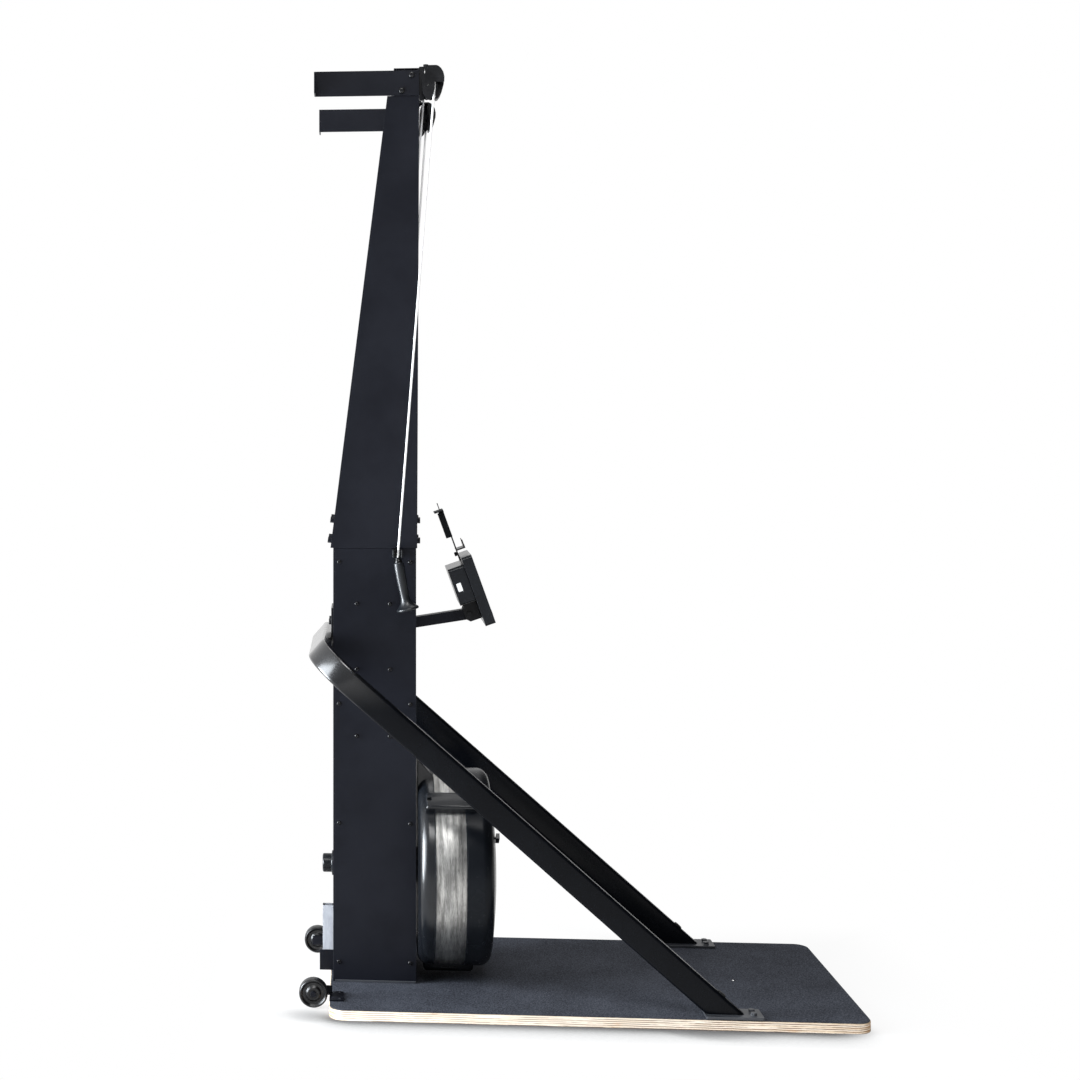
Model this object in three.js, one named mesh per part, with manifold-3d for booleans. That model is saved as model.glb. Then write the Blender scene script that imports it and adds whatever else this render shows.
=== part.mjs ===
// A standing ski trainer: a board with a column, a flared tower with two top pulleys,
// a fan brake in a cage, two pull handles on cords, a monitor and a stabiliser hoop.
// Millimetres, +Z up, +X towards the user, origin at the centre of the board's underside.

import * as THREE from 'three';
import { mergeVertices } from 'three/addons/utils/BufferGeometryUtils.js';
import Module from 'manifold-3d';

const wasm = await Module();
wasm.setup();

// Shared clearances
const seatGap = 0.3;
const overrun = 5;
const weldDepth = 0.5;
const mergeTolerance = 0.0001;
const near = -1;
const far = 1;

// Board
const boardLength = 1200;
const boardWidth = 600;
const boardThickness = 22;
const boardCornerRadius = 34;
const matThickness = 2;
const matInset = 1.5;

// Column
const columnSetback = 6.7;
const columnDepth = 195.7;
const columnWidth = 190.8;
const columnHeight = 1027.6;
const columnWall = 3;
const columnLip = 22;
const columnFootThickness = 6;
const panelThickness = 2.5;
const panelScrewRadius = 4.6;
const panelScrewHeight = 2.2;
const panelScrewInset = 14;
const panelInnerScrewReach = 39;
const panelInnerScrewShift = 3;
const stubHeight = 78;
const stubInset = 9;
const stubFrontInset = 4;

// Tower
const towerHeight = 1043;
const towerBaseOverhang = 2.4;
const towerBackOverhang = 6.4;
const towerTopDepth = 72.7;
const towerTopWidth = 476;
const towerWall = 3;
const towerBoltRadius = 7.4;
const towerBoltHeight = 9;
const towerBoltReach = 60;
const towerBoltLow = 16.6;
const towerBoltPitch = 48;
const coverThickness = 3;
const coverRecess = 0.8;
const cordSlotWidth = 16;
const cordSlotClearance = 1.5;

// Head beam and wall brackets
const beamHeight = 63;
const beamDepth = 57;
const beamWall = 3;
const bracketHeight = 57.2;
const bracketThickness = 3;
const bracketReach = 181;
const bracketFlangeWidth = 45;
const bracketFlangeTaper = 9.5;
const bracketHoleRadius = 4.5;
const bracketHolePitch = 28;
const bracketBoltRadius = 5.6;
const bracketBoltHeight = 4.2;
const bracketBoltHighX = 16.5;
const bracketBoltLowX = 39;
const bracketBoltEdge = 10.8;

// Top pulleys
const pulleyRadius = 34.7;
const pulleyWidth = 11;
const grooveRadius = 27.2;
const pulleyAhead = 25;
const pulleySpread = 217;
const pulleyDrop = 35.2;
const pulleyTurnDegrees = 21;
const pulleyAxleRadius = 4;
const pulleyAxleHeadRadius = 6.4;
const pulleyAxleHeadHeight = 3.2;
const yokeThickness = 2.5;
const yokeWidth = 30;
const yokeBaseThickness = 7;
const yokeCheekWidth = 22;
const yokeCheekGap = 0.8;
const yokeBoltRadius = 6.4;
const yokeBoltHeight = 6.4;
const yokeWasherRadius = 8.8;
const yokeWasherHeight = 2;
const yokeLugStart = 1;
const yokeLugDepth = 12;
const yokeLugSpan = [228, 238];
const yokeLugDrop = 10.9;
const guardSpan = [252, 254.5];
const guardAhead = 21.3;
const guardHalfWidth = 14.1;
const guardHalfHeight = 34.2;
const guardDrop = 44.9;
const guardTabHalf = 8;
const hookReach = 32.2;
const hookDepth = 20.3;

// Cords
const cordDiameter = 5;
const cordSides = 8;
const wrapSteps = 14;

// Handles and their docks
const handleDockX = 44;
const handleDockSpread = 126;
const handleTopZ = 1032;
const ferruleHeight = 11;
const ferruleRadius = 8.6;
const ferruleTopRadius = 6.2;
const gripLength = 112;
const gripTopRadius = 11.2;
const gripNeckRadius = 9.3;
const gripFlareRadius = 23;
const gripLipThickness = 3.4;
const gripDish = 6;
const nearTopLean = -0.06;
const nearEndLean = 0.36;
const farTopLean = 0.17;
const farEndLean = 0.45;
const dockHeight = 18.4;
const dockWidth = 24.6;
const dockTine = 5;
const dockReach = 44;
const dockSlotDepth = 26;

// Monitor arm, monitor and phone holder
const armHeight = 25.4;
const armWidth = 30;
const armWall = 2.5;
const armRiseDegrees = 9.4;
const pivotAhead = 129.6;
const pivotBossRadius = 12;
const pivotZ = 889.4;
const pivotBoltRadius = 4;
const pivotBoltHeadRadius = 7.2;
const pivotBoltHeadHeight = 4.6;
const clevisEar = 4;
const clevisEarGap = 0.5;
const clevisPlate = 4;
const clevisBackReach = 12;
const clevisDrop = 18;
const clevisCorner = 9;
const clevisRise = 16;
const clevisFrontRise = 30.3;
const clevisFrontStart = 0;
const monitorTiltDegrees = 19.8;
const monitorHeight = 171.4;
const monitorWidth = 176;
const monitorThickness = 25;
const monitorCornerRadius = 9;
const monitorBackFromPivot = 25;
const monitorBelowPivot = 32.6;
const backCaseHeight = 91;
const backCaseDepth = 39.5;
const backCaseWidth = 150;
const backCaseFromBottom = 63.4;
const screenWidth = 138;
const screenHeight = 92;
const screenThickness = 2;
const screenRise = 58;
const monitorWall = 2.5;
const buttonWidth = 26;
const buttonHeight = 14;
const buttonThickness = 4.6;
const buttonProud = 1.6;
const buttonRise = 22;
const buttonPitch = 40;
const buttonGap = 0.5;
const phoneRodThickness = 3;
const phoneRodWidth = 20;
const phoneRodFoot = 127;
const phoneRodTop = 236;
const phoneShelfRise = 15;
const phoneShelfDepth = 20;
const phoneShelfThickness = 3;
const phoneShelfLip = 10;
const phoneShelfWidth = 60;
const phonePinRise = 12;
const phoneJawWidth = 64;
const phoneBlockDepth = 15;
const phoneBlockHeight = 62;
const phoneBlockRise = 49.6;
const phoneBlockWidth = 30;
const phoneBlockClearance = 0.6;
const phoneJawDepth = 22;
const phoneJawThickness = 3.2;
const phoneJawRise = 116;
const phonePinRadius = 1.2;
const phonePinHeight = 18;
const phoneKnobRadius = 5;
const phoneKnobThickness = 6;
const phoneKnobRise = 6;

// Fan brake
const cageFloorGap = 8;
const cageRadius = 231;
const cageWall = 3;
const cageBack = 4.1;
const rearShellDepth = 38;
const rearShellRound = 26;
const cowlHalf = 70;
const cowlTopZ = 545;
const cowlLedge = 5.5;
const cowlReach = 38;
const cowlFrontZ = 509;
const cowlBottomZ = 430;
const bandVisible = 69.7;
const bandTuck = 4;
const bandWall = 1.2;
const frontShellDepth = 64.4;
const frontShellRound = 28;
const domeHeight = 15;
const intakeInnerRadius = 52;
const intakeOuterRadius = 122;
const intakeCount = 8;
const intakeShare = 0.6;
const clipWidth = 46;
const clipHeight = 19;
const clipRearOverlap = 22.8;
const clipFrontOverlap = 26.5;
const clipCornerShare = 0.33;
const clipAngles = [50, 130, 270];
const rotorTipGap = 15;
const rotorWidth = 58;
const rotorPlate = 3;
const rotorHubRadius = 28;
const rotorBladeRoot = 120;
const rotorBladeCount = 16;
const rotorBladeThickness = 3;
const rotorBehindBandFront = 8;
const axleRadius = 10;
const axleBack = 17;
const axleNose = 9;
const shellBoreClearance = 2;
const bearingRadius = 26;
const bearingFlangeRadius = 42;
const bearingLength = 16;
const capRadius = 22.3;
const capFlangeRadius = 29.5;
const capFlangeThickness = 4;
const capReach = 26.6;
const capEndWall = 4;
const damperThickness = 2;
const damperWindowShift = 0.5;
const damperGap = 1;
const damperHubRadius = 46;
const damperRimReach = 6;
const damperArmWidth = 16;
const damperLeverRadius = 180;
const damperLeverAngle = 146;
const damperSweep = 48;
const damperPinRadius = 2.7;
const damperKnobLength = 31;
const damperKnobWidth = 12;
const damperKnobThickness = 8;
const damperKnobGap = 0.8;
const drumRadius = 20;
const drumFlangeRadius = 32;
const drumWidth = 24;
const drumFlange = 3;
const nearDrumBack = 61;
const farDrumBack = 115;
const springCaseRadius = 50;
const springCaseWidth = 18;
const springCaseBack = 91;
const springStandWidth = 40;
const springStandThickness = 4;

// Stabiliser hoop and its feet
const hoopSlopeDegrees = 41.1;
const hoopTubeHeight = 56;
const hoopTubeWidth = 28;
const hoopTubeRound = 7;
const hoopTubeWall = 3;
const hoopInset = 30;
const hoopBendRadius = 95;
const hoopCrossZ = 818;
const hoopMountWidth = 120;
const hoopMountHeight = 70;
const hoopMountThickness = 5;
const hoopMountRise = 17.3;
const footLength = 127;
const footWidth = 62;
const footThickness = 6;
const footCornerRadius = 4;
const footAhead = 75.5;
const footBoltRadius = 7.4;
const footBoltHeight = 6;
const footBoltInset = 20;
const footBoltPitch = 24;

// Transport wheels and the bracket behind the column
const wheelRadius = 33;
const wheelWidth = 26;
const wheelBoreRadius = 5;
const wheelHubRadius = 15;
const wheelDish = 4;
const wheelRound = 4;
const wheelInset = 88;
const wheelBehind = 37;
const wheelAxleClearance = 0.3;
const wheelArmNose = 13;
const wheelFloorGap = 1.5;
const axleHeadRadius = 7.5;
const axleHeadHeight = 3;
const wheelArmThickness = 3;
const wheelArmHeight = 22;
const wheelArmLap = 6;
const wheelSideGap = 1;
const wheelPlateLength = 33;
const wheelPlateWidth = 60;
const wheelPlateThickness = 4;
const wheelScrewRadius = 4.4;
const wheelScrewHeight = 2;
const wheelScrewPitch = 45.4;
const wheelScrewInset = 7;
const rearBracketWidth = 20;
const rearBracketDepth = 33.4;
const rearBracketHeight = 49;
const rearUprightDepth = 26;
const rearUprightHeight = 157;
const rearUprightWidth = 20;
const rearBracketWall = 3;

// Sides and steps of the round surfaces
const screwSides = 6;
const boltSides = 6;
const holeSides = 12;
const shaftSides = 16;
const pulleySides = 20;
const gripSides = 14;
const cageSides = 36;
const wheelSides = 18;
const guardSides = 20;
const roundSteps = 3;
const boardCurve = { curveSegments: 6 };
const monitorCurve = { curveSegments: 4 };
const windowCurve = { curveSegments: 3 };

// Places that follow from the sizes above
const boardTop = boardThickness + matThickness;
const fanAxisZ = boardTop + cageFloorGap + clipHeight + cageRadius;
const rotorRadius = cageRadius - rotorTipGap;
const columnBackX = columnSetback - boardLength / 2;
const columnFrontX = columnBackX + columnDepth;
const columnBottomZ = boardTop + seatGap;
const columnTopZ = boardTop + columnHeight;
const columnMiddleX = (columnBackX + columnFrontX) / 2;
const panelOuterY = columnWidth / 2;
const panelInnerY = panelOuterY - panelThickness;
const towerTopZ = columnTopZ + towerHeight;
const towerFrontX = columnFrontX + towerBaseOverhang;
const towerBaseBackX = columnBackX - towerBackOverhang;
const towerTopBackX = towerFrontX - towerTopDepth;
const towerBaseHalf = panelOuterY + towerBaseOverhang;
const beamFrontX = towerFrontX - coverRecess;
const beamBackX = beamFrontX - beamDepth;
const beamBottomZ = towerTopZ + seatGap;
const beamTopZ = beamBottomZ + beamHeight;
const beamHalf = towerTopWidth / 2;
const pulleyX = beamFrontX + pulleyAhead;
const pulleyZ = beamTopZ - pulleyDrop;
const cordRadius = cordDiameter / 2;
const cordOnPulley = grooveRadius + seatGap + cordRadius;
const handleX = columnFrontX - handleDockX;
const hoopSpread = boardWidth / 2 - hoopInset;
const wheelSpread = boardWidth / 2 - wheelInset;
const degree = Math.PI / 180;
const quarterTurn = Math.PI / 2;

// Finishes
const paint = { color: 0x17181b, roughness: 0.5, metalness: 0.4 };
const steel = { color: 0xb9bbbd, roughness: 0.35, metalness: 1 };
const darkSteel = { color: 0x1c1d1f, roughness: 0.35, metalness: 0.8 };
const plastic = { color: 0x101113, roughness: 0.42, metalness: 0 };
const rubber = { color: 0x0d0e0f, roughness: 0.7, metalness: 0 };
const plywood = { color: 0xe3cfab, roughness: 0.6, metalness: 0 };
const gripSheet = { color: 0x3f4144, roughness: 0.9, metalness: 0 };
const whiteCord = { color: 0xf0efec, roughness: 0.8, metalness: 0 };
const perforatedSteel = { color: 0xc4c3bf, roughness: 0.3, metalness: 1 };
const screenGlass = { color: 0x0a0c0e, roughness: 0.08, metalness: 0 };

const axisX = new THREE.Vector3(1, 0, 0);
const axisY = new THREE.Vector3(0, 1, 0);
const axisZ = new THREE.Vector3(0, 0, 1);
const machine = new THREE.Group();

// Turns a closed three.js geometry into a solid that can be joined and cut
function solid(geometry) {
  const bare = geometry.index ? geometry.toNonIndexed() : geometry.clone();
  bare.deleteAttribute('normal');
  bare.deleteAttribute('uv');
  const merged = mergeVertices(bare, mergeTolerance);
  const index = merged.index.array;
  const triangles = [];
  for (let i = 0; i < index.length; i += 3) {
    const [a, b, c] = index.slice(i, i + 3);
    if (a !== b && b !== c && c !== a) triangles.push(a, b, c);
  }
  const vertProperties = new Float32Array(merged.attributes.position.array);
  const made = bodyOf(vertProperties, triangles);
  return made.volume() < 0 ? bodyOf(vertProperties, triangles.reverse()) : made;
}

function bodyOf(vertProperties, triangles) {
  const triVerts = new Uint32Array(triangles);
  return new wasm.Manifold(new wasm.Mesh({ numProp: 3, vertProperties, triVerts }));
}

// Turns a solid back into a three.js geometry
function geometryOf(body) {
  const made = body.getMesh();
  const geometry = new THREE.BufferGeometry();
  const places = new Float32Array(made.numVert * 3);
  for (let i = 0; i < made.numVert; i++) {
    const start = i * made.numProp;
    places.set(made.vertProperties.subarray(start, start + 3), i * 3);
  }
  geometry.setAttribute('position', new THREE.BufferAttribute(places, 3));
  geometry.setIndex(new THREE.BufferAttribute(made.triVerts, 1));
  return geometry;
}

// Adds one named sub-part to a group
function place(name, body, finish, group = machine) {
  const mesh = new THREE.Mesh(geometryOf(body), new THREE.MeshStandardMaterial(finish));
  mesh.name = name;
  group.add(mesh);
}

function vector(x, y, z) {
  return new THREE.Vector3(x, y, z);
}

function joined(bodies) {
  return bodies.reduce((all, next) => all.add(next));
}

function cutFrom(body, cuts) {
  return cuts.reduce((left, next) => left.subtract(next), body);
}

function sideName(side) {
  return side === near ? 'near' : 'far';
}

// A block from its three pairs of limits, each pair in either order
function block([x0, x1], [y0, y1], [z0, z1]) {
  const geometry = new THREE.BoxGeometry(Math.abs(x1 - x0), Math.abs(y1 - y0), Math.abs(z1 - z0));
  geometry.translate((x0 + x1) / 2, (y0 + y1) / 2, (z0 + z1) / 2);
  return solid(geometry);
}

// A block whose lower and upper rectangles differ, each given as { x0, x1, half }
function taperedBlock(low, high, z0, z1) {
  const geometry = new THREE.BoxGeometry(1, 1, 1);
  const corners = geometry.attributes.position;
  for (let i = 0; i < corners.count; i++) {
    const upper = corners.getZ(i) > 0;
    const rect = upper ? high : low;
    const x = corners.getX(i) > 0 ? rect.x1 : rect.x0;
    const y = corners.getY(i) > 0 ? rect.half : -rect.half;
    corners.setXYZ(i, x, y, upper ? z1 : z0);
  }
  return solid(geometry);
}

// A flat shape pushed from its origin along the normal of its own plane
function pushed(shape, depth, origin, across, up, settings = {}) {
  const geometry = new THREE.ExtrudeGeometry(shape, { depth, bevelEnabled: false, ...settings });
  const out = new THREE.Vector3().crossVectors(across, up);
  const frame = new THREE.Matrix4().makeBasis(across, up, out);
  frame.setPosition(origin);
  geometry.applyMatrix4(frame);
  return solid(geometry);
}

function shapeOf(points) {
  return new THREE.Shape(points.map(([a, b]) => new THREE.Vector2(a, b)));
}

// Points of an oval about the origin
function ovalPoints(halfWidth, halfHeight, count) {
  const points = [];
  for (let i = 0; i < count; i++) {
    const angle = 4 * quarterTurn * i / count;
    points.push([halfWidth * Math.cos(angle), halfHeight * Math.sin(angle)]);
  }
  return points;
}

// A pair of distances from the middle plane, taken to one side
function onSide(side, span) {
  return span.map((distance) => side * distance);
}

// A side outline in X and Z that is as thick as y0 to y1
function sideOutline(points, y0, y1) {
  return pushed(shapeOf(points), y1 - y0, vector(0, y1, 0), axisX, axisZ);
}

// A rectangle with round corners, centred on the shape's origin
function roundedRect(width, height, radius) {
  const outline = new THREE.Shape();
  const x = width / 2 - radius;
  const y = height / 2 - radius;
  outline.absarc(x, y, radius, 0, quarterTurn);
  outline.absarc(-x, y, radius, quarterTurn, 2 * quarterTurn);
  outline.absarc(-x, -y, radius, 2 * quarterTurn, 3 * quarterTurn);
  outline.absarc(x, -y, radius, 3 * quarterTurn, 4 * quarterTurn);
  outline.closePath();
  return outline;
}

// A part of a ring between two radii and two angles
function ringPart(inner, outer, from, to) {
  const outline = new THREE.Shape();
  outline.absarc(0, 0, outer, from, to, false);
  outline.absarc(0, 0, inner, to, from, true);
  outline.closePath();
  return outline;
}

// A profile of [radius, distance along the axis] turned about a line
function turned(profile, origin, axis, segments) {
  const points = profile.map(([radius, along]) => new THREE.Vector2(radius, along));
  const geometry = new THREE.LatheGeometry(points, segments);
  geometry.applyQuaternion(new THREE.Quaternion().setFromUnitVectors(axisY, axis));
  geometry.translate(origin.x, origin.y, origin.z);
  return solid(geometry);
}

// Points of a quarter round in a profile, between two angles about its centre
function roundPoints(centreRadius, centreAlong, radius, from, to, steps) {
  const points = [];
  for (let i = 0; i <= steps; i++) {
    const angle = from + (to - from) * i / steps;
    points.push([centreRadius + radius * Math.cos(angle), centreAlong + radius * Math.sin(angle)]);
  }
  return points;
}

// A plain round bar from one point along an axis
function rod(radius, length, origin, axis, segments) {
  return turned([[0, 0], [radius, 0], [radius, length], [0, length]], origin, axis, segments);
}

// A low round screw head standing on a face
function screwHead(radius, height, origin, axis) {
  const shoulderShare = 0.55;
  const crownShare = 0.6;
  const profile = [
    [0, -weldDepth],
    [radius, -weldDepth],
    [radius, height * shoulderShare],
    [radius * crownShare, height],
    [0, height],
  ];
  return turned(profile, origin, axis, screwSides);
}

// A six-sided bolt head standing on a face
function boltHead(radius, height, origin, axis) {
  return rod(radius, height + weldDepth, origin.clone().addScaledVector(axis, -weldDepth), axis, boltSides);
}

function makeBoard() {
  const outline = roundedRect(boardLength, boardWidth, boardCornerRadius);
  place('base_board', pushed(outline, boardThickness, vector(0, 0, 0), axisX, axisY, boardCurve), plywood);
  const length = boardLength - 2 * matInset;
  const inner = roundedRect(length, boardWidth - 2 * matInset, boardCornerRadius - matInset);
  const mat = pushed(inner, matThickness, vector(0, 0, boardThickness), axisX, axisY, boardCurve);
  place('grip_mat', mat, gripSheet);
}

// The folded steel frame: foot plate, back wall and front wall with lips, and a neck on top
function makeColumnFrame() {
  const half = panelInnerY - seatGap;
  const depth = [columnBackX, columnFrontX];
  const width = [-half, half];
  const height = [columnBottomZ, columnTopZ];
  const walls = [
    block(depth, width, [columnBottomZ, columnBottomZ + columnFootThickness]),
    block(depth, width, [columnTopZ - columnWall, columnTopZ]),
    block([columnBackX, columnBackX + columnWall], width, height),
    block([columnFrontX - columnWall, columnFrontX], width, height),
  ];
  for (const side of [near, far]) {
    const lip = [side * half, side * (half - columnWall)];
    walls.push(block([columnBackX, columnBackX + columnLip], lip, height));
    walls.push(block([columnFrontX - columnLip, columnFrontX], lip, height));
  }
  const neckX = [columnBackX + stubInset, columnFrontX - stubFrontInset];
  const neckHalf = half - columnWall;
  const neckTop = columnTopZ + stubHeight;
  walls.push(block(neckX, [-neckHalf, neckHalf], [columnTopZ - columnWall, neckTop]));
  const hollowX = [neckX[0] + columnWall, neckX[1] - columnWall];
  const hollowHalf = neckHalf - columnWall;
  const cuts = [
    block(hollowX, [-hollowHalf, hollowHalf], [columnTopZ - columnWall - overrun, neckTop + overrun]),
    fanRod(axleRadius + seatGap, columnBackX - overrun, columnMiddleX),
    fanRod(bearingRadius + seatGap, columnFrontX - columnWall - overrun, columnFrontX + overrun),
  ];
  place('column_frame', cutFrom(joined(walls), cuts), paint);
}

// A round bar about the fan's axis between two places along X
function fanRod(radius, x0, x1) {
  return rod(radius, x1 - x0, vector(x0, 0, fanAxisZ), axisX, shaftSides);
}

function makeColumnPanel(side) {
  const faceY = side * panelOuterY;
  const panelX = [columnBackX, columnFrontX];
  const panel = [block(panelX, [side * panelInnerY, faceY], [columnBottomZ, columnTopZ])];
  const edgeShares = [0.046, 0.366, 0.641, 0.968];
  const innerShares = [0.567, 0.721, 0.872];
  const screws = [];
  for (const share of edgeShares) {
    screws.push([columnBackX + panelScrewInset, share], [columnFrontX - panelScrewInset, share]);
  }
  const middle = columnMiddleX - panelInnerScrewShift;
  for (const share of innerShares) {
    screws.push([middle - panelInnerScrewReach, share], [middle + panelInnerScrewReach, share]);
  }
  for (const [x, share] of screws) {
    const origin = vector(x, faceY, boardTop + share * columnHeight);
    panel.push(screwHead(panelScrewRadius, panelScrewHeight, origin, vector(0, side, 0)));
  }
  place('column_panel_' + sideName(side), joined(panel), paint);
}

// The tower's outline at a height above its foot, drawn in by a wall
function towerRect(height, inset) {
  const share = height / towerHeight;
  const x0 = towerBaseBackX + (towerTopBackX - towerBaseBackX) * share + inset;
  const half = towerBaseHalf + (beamHalf - towerBaseHalf) * share - inset;
  return { x0, x1: towerFrontX, half };
}

// Folded back and sides of the tower, open at the front, and the cover between its sides
function makeTower() {
  const outer = taperedBlock(towerRect(0, 0), towerRect(towerHeight, 0), columnTopZ + seatGap, towerTopZ);
  const low = towerRect(-overrun, towerWall);
  const high = towerRect(towerHeight + overrun, towerWall);
  low.x1 += overrun;
  high.x1 += overrun;
  const shell = [outer.subtract(taperedBlock(low, high, columnTopZ - overrun, towerTopZ + overrun))];
  const cover = [makeTowerCover()];
  const slope = vector(-towerHeight, 0, towerTopBackX - towerBaseBackX).normalize();
  for (const height of [towerBoltLow, towerBoltLow + towerBoltPitch]) {
    for (const side of [near, far]) {
      const z = columnTopZ + height;
      const back = vector(towerRect(height, 0).x0, side * towerBoltReach, z);
      const front = vector(towerFrontX - coverRecess, side * towerBoltReach, z);
      shell.push(boltHead(towerBoltRadius, towerBoltHeight, back, slope));
      cover.push(boltHead(towerBoltRadius, towerBoltHeight, front, axisX));
    }
  }
  place('tower_shell', joined(shell), paint);
  place('tower_front_cover', joined(cover), paint);
}

function makeTowerCover() {
  const low = towerRect(2 * seatGap, towerWall + seatGap);
  const high = towerRect(towerHeight - seatGap, towerWall + seatGap);
  low.x1 = towerFrontX - coverRecess;
  high.x1 = low.x1;
  low.x0 = low.x1 - coverThickness;
  high.x0 = low.x0;
  const cover = taperedBlock(low, high, columnTopZ + 2 * seatGap, towerTopZ - seatGap);
  return cutFrom(cover, [near, far].map((side) => cordSlot(side, low.x0, low.x1)));
}

// The slot that a cord needs to pass a plate between two places along X
function cordSlot(side, x0, x1) {
  const reach = cordRadius + cordSlotClearance;
  const foot = cordPointAtX(side, x0 - reach);
  const head = cordPointAtX(side, x1 + reach);
  const half = cordSlotWidth / 2;
  const outline = [
    [foot.y - half, foot.z],
    [foot.y + half, foot.z],
    [head.y + half, head.z],
    [head.y - half, head.z],
  ];
  return pushed(shapeOf(outline), x1 - x0 + 2 * overrun, vector(x0 - overrun, 0, 0), axisY, axisZ);
}

function makeHeadBeam() {
  const outer = block([beamBackX, beamFrontX], [-beamHalf, beamHalf], [beamBottomZ, beamTopZ]);
  const inner = block([beamBackX + beamWall, beamFrontX - beamWall],
    [-beamHalf - overrun, beamHalf + overrun], [beamBottomZ + beamWall, beamTopZ - beamWall]);
  place('head_beam', outer.subtract(inner), paint);
}

// A flat arm that runs back to the wall, with a sloped flange turned outward at its end
function makeWallBracket(side) {
  const inner = side * (beamHalf + seatGap);
  const outer = inner + side * bracketThickness;
  const topZ = beamBottomZ + bracketHeight;
  const backX = beamBackX - bracketReach;
  const tip = outer + side * bracketFlangeWidth;
  const tipHeight = bracketHeight - bracketFlangeTaper;
  const flange = [
    [inner, 0],
    [tip, 0],
    [tip, tipHeight],
    [outer, bracketHeight],
    [inner, bracketHeight],
  ];
  const flangeStart = vector(backX, 0, beamBottomZ);
  const bodies = [
    block([backX, beamFrontX], [inner, outer], [beamBottomZ, topZ]),
    pushed(shapeOf(flange), bracketThickness, flangeStart, axisY, axisZ),
  ];
  const out = vector(0, side, 0);
  const high = vector(beamFrontX - bracketBoltHighX, outer, topZ - bracketBoltEdge);
  const low = vector(beamFrontX - bracketBoltLowX, outer, beamBottomZ + bracketBoltEdge);
  for (const origin of [high, low]) {
    bodies.push(boltHead(bracketBoltRadius, bracketBoltHeight, origin, out));
  }
  const holes = [near, far].map((step) => {
    const z = beamBottomZ + tipHeight / 2 + step * bracketHolePitch / 2;
    const origin = vector(backX - overrun, outer + side * bracketFlangeWidth / 2, z);
    return rod(bracketHoleRadius, bracketThickness + 2 * overrun, origin, axisX, holeSides);
  });
  place('wall_bracket_' + sideName(side), cutFrom(joined(bodies), holes), paint);
}

// Directions of a pulley: across it in its own plane, outwards, and along its axle
function pulleyAlong(side) {
  const turn = pulleyTurnDegrees * degree;
  return vector(Math.sin(turn), side * Math.cos(turn), 0);
}

function pulleyAxis(side) {
  const turn = pulleyTurnDegrees * degree;
  return vector(Math.cos(turn), -side * Math.sin(turn), 0);
}

function pulleyCentre(side) {
  return vector(pulleyX, side * pulleySpread, pulleyZ);
}

function makePulley(side) {
  const centre = pulleyCentre(side);
  const axis = pulleyAxis(side);
  const half = pulleyWidth / 2;
  const lipShare = 0.79;
  const floorShare = 0.42;
  const bore = pulleyAxleRadius + seatGap;
  const profile = [
    [bore, -half],
    [pulleyRadius, -half],
    [pulleyRadius, -half * lipShare],
    [grooveRadius, -half * floorShare],
    [grooveRadius, half * floorShare],
    [pulleyRadius, half * lipShare],
    [pulleyRadius, half],
    [bore, half],
    [bore, -half],
  ];
  place('pulley_' + sideName(side), turned(profile, centre, axis, pulleySides), plastic);
  const start = centre.clone().addScaledVector(axis, -half - seatGap);
  const nutStart = centre.clone().addScaledVector(axis, half + yokeCheekGap + yokeThickness + seatGap);
  const pinStart = start.clone().addScaledVector(axis, -weldDepth);
  const bodies = [
    rod(pulleyAxleRadius, start.distanceTo(nutStart) + 2 * weldDepth, pinStart, axis, holeSides),
    rod(pulleyAxleHeadRadius, pulleyAxleHeadHeight, start, axis.clone().negate(), holeSides),
    rod(pulleyAxleHeadRadius, pulleyAxleHeadHeight, nutStart, axis, boltSides),
  ];
  place('pulley_axle_' + sideName(side), joined(bodies), darkSteel);
}

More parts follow.
